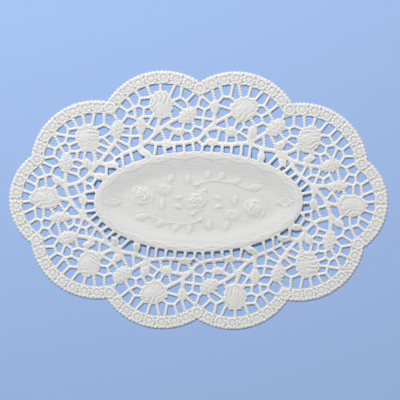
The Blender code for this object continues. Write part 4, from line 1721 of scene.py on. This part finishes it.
def blend(nodes, share, first, second):
    """A mix of two colours, each a wire or red, green and blue."""
    first, second = [one if isinstance(one, Wire) else (*one, 1.0) for one in (first, second)]
    return nodes.add("ShaderNodeMix", {"data_type": "RGBA"},
                     {0: share, MIX_FIRST: first, MIX_SECOND: second}, MIX_RESULT)


def paper_material(sizes):
    """Matt white paper: fibres, a fine crepe in the centre, stitches on the leaves and the border,
    and the twist of the cords, with painted shade in the hollows and painted highlight on the
    ridges, the cords and the leaves."""
    nodes, shader, place, material = new_material("embossed paper", roughness=0.8, specular=0.3)

    def surface(name, output="Fac"):
        """What the mesh stores at each vertex."""
        return nodes.add("ShaderNodeAttribute", {"attribute_name": name}, None, output)

    oval = surface("oval")
    upper = surface("upper")
    cord = surface("cord")
    hollow = surface("hollow")
    band = surface("band")
    stitched = surface("stitched") * upper
    spot = nodes.add("ShaderNodeSeparateXYZ", None, {0: surface("cord_spot", "Vector")}, None)
    along = nodes.wire(spot, "X") / sizes.twist_pitch
    across = nodes.wire(spot, "Y") / (BAR_WIDTH * MM)
    twist = ((along + across * TWIST_SLANT) * (2 * math.pi)).sine() * cord * upper
    twist = twist * surface("twisted")
    stitch = nodes.add("ShaderNodeTexVoronoi", {"feature": "F1"},
                       {"Vector": place, "Scale": 1 / sizes.stitch_pitch,
                        "Randomness": STITCH_SCATTER}, "Distance")
    gaps = ((stitch - GAP_START) * GAP_CONTRAST).clipped() * stitched

    tone = blend(nodes, oval, sizes.lace_colour, sizes.centre_colour)
    # Painted highlight: the cords lighter than the lace, most on the crests of their twist and
    # least in its troughs, and the leaves a little lighter
    white = (cord * (CORD_HIGHLIGHT + twist * CORD_HIGHLIGHT_BY_TWIST)).largest(
        stitched * (1.0 - band) * BLOOM_HIGHLIGHT)
    tone = blend(nodes, white, tone, sizes.cord_colour)
    # Painted shade: darker where a vertex lies below its neighbours, less so in the border, the
    # centre and on the cords
    hollow_shade = (hollow * (HOLLOW_SHADE - band * HOLLOW_SHADE_LESS_IN_BAND)
            * (1.0 - oval * HOLLOW_SHADE_LESS_IN_CENTRE) * (1.0 - cord * HOLLOW_SHADE_LESS_IN_CORDS))
    tone = blend(nodes, hollow_shade.clipped(), tone, sizes.hollow_colour)
    # Painted highlight: lighter where a vertex stands above its neighbours, less so on the cords
    ridge_highlight = hollow * (cord * RIDGE_HIGHLIGHT_LESS_IN_CORDS - RIDGE_HIGHLIGHT)
    tone = blend(nodes, ridge_highlight.clipped(), tone, sizes.ridge_colour)
    # Painted shade in the stitches' gaps, more in the border
    tone = blend(nodes, gaps * (GAP_SHADE + band * GAP_SHADE_MORE_IN_BAND), tone, sizes.hollow_colour)
    # Painted shade in the troughs of the cords' twist
    tone = blend(nodes, (twist * -TWIST_SHADE).clipped(), tone, sizes.hollow_colour)
    # Lighter clouds at random: the paper's own uneven tone
    clouds = (noise(nodes, place, CLOUDS) - CLOUD_START).clipped() * CLOUD_TONE
    tone = blend(nodes, clouds, tone, sizes.ridge_colour)

    streaks = nodes.add("ShaderNodeMapping", None, {"Vector": place, "Scale": CREPE_SCALE})
    crepe = noise(nodes, streaks, CREPE)
    fibre = noise(nodes, place, FIBRES)
    height = (fibre * sizes.fibre_height + twist * sizes.twist_height
              - gaps * sizes.stitch_height + crepe * oval * sizes.crepe_height)
    bump = nodes.add("ShaderNodeBump", None, {"Height": height / MM, "Distance": MM})
    connect(nodes, shader, Base_Color=tone, Normal=bump)
    return material


def card_material(sizes):
    """A plain pale card for the floor."""
    nodes, shader, place, material = new_material("pale card", roughness=0.95, specular=0.15)
    grains = noise(nodes, place, CARD_GRAIN)
    connect(nodes, shader, Base_Color=blend(nodes, grains * CARD_TONE, sizes.floor_colour, WHITE))
    return material


# What a user would change
def measure(name, description, millimetres):
    """A length, given in millimetres and kept in metres."""
    return FloatProperty(name=name, description=description, default=millimetres * MM, min=0,
                         precision=5, unit="LENGTH")


def tint(name, description, value):
    """A colour."""
    return FloatVectorProperty(name=name, description=description, default=value, size=3,
                               subtype="COLOR", min=0, max=1)


class DoilyRelief(bpy.types.PropertyGroup):
    """Sizes of the embossing: the border, the cords and the braid."""

    rosette_pitch: measure("Rosette pitch", "From one rosette to the next", 10.0)
    ring_radius: measure("Ring radius", "From a rosette's middle to its ring", 3.75)
    ring_half_width: measure("Ring half width", "Half the width of the ring", 0.85)
    ring_height: measure("Ring height", "How far the ring stands up", 0.2)
    ring_beads: IntProperty(name="Ring beads", description="Beads on each ring", default=9)
    bead_radius: measure("Bead radius", "Radius of a ring's bead", 1.2)
    boss_radius: measure("Boss radius", "Radius of a rosette's middle", 2.3)
    boss_height: measure("Boss height", "How far a rosette's middle stands up", 0.26)
    pit_offset: measure("Pit offset", "From the chain's middle to a pit", 2.9)
    pit_radius: measure("Pit radius", "Radius of a pit between two rings", 1.3)
    pit_depth: measure("Pit depth", "Depth of a pit between two rings", 0.3)
    pearl_radius: measure("Pearl radius", "Radius of an edge pearl", 1.6)
    pearl_height: measure("Pearl height", "How far an edge pearl stands up", 0.38)
    rim_pitch: measure("Rim pitch", "From one rim bead to the next", 1.7)
    rim_radius: measure("Rim radius", "Radius of a rim bead", 0.95)
    rim_height: measure("Rim height", "How far a rim bead stands up", 0.25)
    cord_height: measure("Cord height", "How far bars and stems stand up", 0.55)
    braid_loops: IntProperty(name="Braid loops", description="Loops round the centre", default=18)
    braid_swing: measure("Braid swing", "How far a strand swings", 2.2)
    braid_half_width: measure("Braid half width", "Half the width of a strand", 0.66)
    braid_height: measure("Braid height", "How far a strand stands up", 0.19)


class DoilyPaper(bpy.types.PropertyGroup):
    """Fine texture and colours of the paper."""

    twist_pitch: measure("Twist pitch", "Pitch of the cords' twist", 2.2)
    twist_height: measure("Twist height", "Depth of the cords' twist", 0.095)
    stitch_pitch: measure("Stitch pitch", "Size of the stitches on leaves and border", 1.7)
    stitch_height: measure("Stitch height", "Depth of the stitches", 0.14)
    crepe_height: measure("Crepe height", "Depth of the centre's fine crepe", 0.16)
    fibre_height: measure("Fibre height", "Depth of the paper's fibres", 0.05)
    lace_colour: tint("Lace", "Colour of the lace and the border", (0.8, 0.8, 0.79))
    # Painted highlight: the lighter colour laid over the bars and stems and, more faintly, over the
    # leaves
    cord_colour: tint("Cords", "Colour of the bars and stems", (0.83, 0.83, 0.82))
    centre_colour: tint("Centre", "Colour of the closed centre", (0.775, 0.775, 0.766))
    # Painted shade: the colour laid into the hollows, the stitches' gaps and the troughs of the
    # cords' twist
    hollow_colour: tint("Hollows", "Colour in the hollows of the embossing", (0.5, 0.5, 0.49))
    # Painted highlight on the ridges of the embossing; the same colour gives the paper its lighter
    # clouds at random
    ridge_colour: tint("Ridges", "Colour on the embossing's ridges", (0.95, 0.95, 0.94))


class DoilyStage(bpy.types.PropertyGroup):
    """The floor, the light and the camera."""

    floor_colour: tint("Floor", "Colour of the card under the doily", (0.37, 0.535, 0.888))
    key_power: FloatProperty(name="Key", description="Power of the key light", default=57.0,
                             unit="POWER")
    fill_power: FloatProperty(name="Fill", description="Power of the fill light", default=2.2,
                              unit="POWER")
    air: FloatProperty(name="Air", description="Brightness of the surroundings", default=0.16)
    camera_distance: FloatProperty(name="Camera distance", description="From lens to doily",
                                   default=0.8, unit="LENGTH")
    camera_lean: FloatProperty(name="Camera lean", description="From straight above",
                               default=math.radians(6.66), subtype="ANGLE")
    lens: FloatProperty(name="Lens", description="Focal length in millimetres", default=91.3)


class DOILY_OT_paper(bpy.types.Operator):
    """Make the embossed sheet"""

    bl_idname = "doily.paper"
    bl_label = "Make the doily"

    def execute(self, context):
        relief = context.scene.doily_relief
        layout = Layout()
        mesh, walls = sheet_mesh(layout)
        piece = new_object(SHEET + "_paper", mesh)
        lines = {
            "Rosette Lines": line_object("rosette lines", scallop_lines(ROSETTE_DEPTH)),
            "Pearl Lines": line_object("pearl lines", pearl_lines()),
            "Rim Lines": line_object("rim lines", scallop_lines(RIM_DEPTH)),
            "Braid Line": line_object("braid line", [oval_line(RIM_WIDTH / 2)], True),
            "Cord Lines": cord_object(layout),
        }
        sizes = {name.replace("_", " ").title(): getattr(relief, name)
                 for name in relief.__annotations__}
        values = {**lines, "Level": LEVEL * MM, **sizes,
                  "Material": paper_material(context.scene.doily_paper)}
        modifier = piece.modifiers.new("Emboss", "NODES")
        modifier.node_group = emboss_tree(values)
        set_inputs(modifier, values)
        plain_mesh(piece)
        for helper in lines.values():
            bpy.data.objects.remove(helper)
        soften_shading(piece.data, walls)
        mark_hollows(piece.data)
        mark_seams(piece.data)
        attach(piece, "root")
        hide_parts(SHEET)
        return {"FINISHED"}


# The stage, in metres: the floor, each light's size and place, and what the camera looks at. The
# sensor's width is in millimetres, as the lens is.
FLOOR_REACH = 2.0
FLOOR_GAP = 0.0002
LIGHTS = {"key": (0.6, (-0.6, 1.7, 1.3)), "fill": (1.2, (0.7, -0.9, 1.1))}
AIM = (0.00118, 0.00158, 0.0005)
SENSOR_WIDTH = 36.0


class DOILY_OT_stage(bpy.types.Operator):
    """Make the floor, the lights and the camera"""

    bl_idname = "doily.stage"
    bl_label = "Make the stage"

    def execute(self, context):
        sizes = context.scene.doily_stage
        mesh = bpy.data.meshes.new("floor")
        corners = [(x * FLOOR_REACH, y * FLOOR_REACH, -FLOOR_GAP)
                   for x, y in ((-1, -1), (1, -1), (1, 1), (-1, 1))]
        mesh.from_pydata(corners, [], [(0, 1, 2, 3)])
        mesh.materials.append(card_material(sizes))
        new_object("floor", mesh)
        for name, (size, place) in LIGHTS.items():
            light = bpy.data.lights.new(name, "AREA")
            light.energy = getattr(sizes, name + "_power")
            light.size = size
            lamp = new_object(name, light)
            lamp.location = place
            lamp.rotation_euler = (-Vector(place)).to_track_quat("-Z", "Y").to_euler()
        world = bpy.data.worlds.new("studio")
        world.use_nodes = True
        background = world.node_tree.nodes["Background"]
        background.inputs["Color"].default_value = (*WHITE, 1.0)
        background.inputs["Strength"].default_value = sizes.air
        context.scene.world = world
        lens = bpy.data.cameras.new("camera")
        lens.lens = sizes.lens
        lens.sensor_width = SENSOR_WIDTH
        camera = new_object("camera", lens)
        lean = sizes.camera_lean
        away = Vector((0, math.sin(lean), math.cos(lean))) * sizes.camera_distance
        camera.location = Vector(AIM) + away
        camera.rotation_euler = (-lean, 0, 0)
        context.scene.camera = camera
        context.scene.view_settings.view_transform = "Standard"
        return {"FINISHED"}


class DOILY_PT_panel(bpy.types.Panel):
    """Lists what can be made and its sizes"""

    bl_idname = "DOILY_PT_panel"
    bl_label = "Lace doily"
    bl_space_type = "VIEW_3D"
    bl_region_type = "UI"
    bl_category = "Doily"

    def draw(self, context):
        for kind, name in GROUPS.items():
            box = self.layout.box()
            for item in kind.__annotations__:
                box.prop(getattr(context.scene, name), item)
        for kind in (DOILY_OT_paper, DOILY_OT_stage):
            self.layout.operator(kind.bl_idname)


GROUPS = {DoilyRelief: "doily_relief", DoilyPaper: "doily_paper", DoilyStage: "doily_stage"}
CLASSES = (*GROUPS, DOILY_OT_paper, DOILY_OT_stage, DOILY_PT_panel)


def register():
    """Add the classes, and their sizes to the scene."""
    for kind in CLASSES:
        bpy.utils.register_class(kind)
    for kind, name in GROUPS.items():
        setattr(bpy.types.Scene, name, PointerProperty(type=kind))


def unregister():
    """Take the sizes and the classes away again."""
    for name in GROUPS.values():
        delattr(bpy.types.Scene, name)
    for kind in reversed(CLASSES):
        bpy.utils.unregister_class(kind)


def main():
    """Make the doily and its stage."""
    register()
    bpy.ops.doily.paper()
    bpy.ops.doily.stage()


if __name__ == "__main__":
    main()
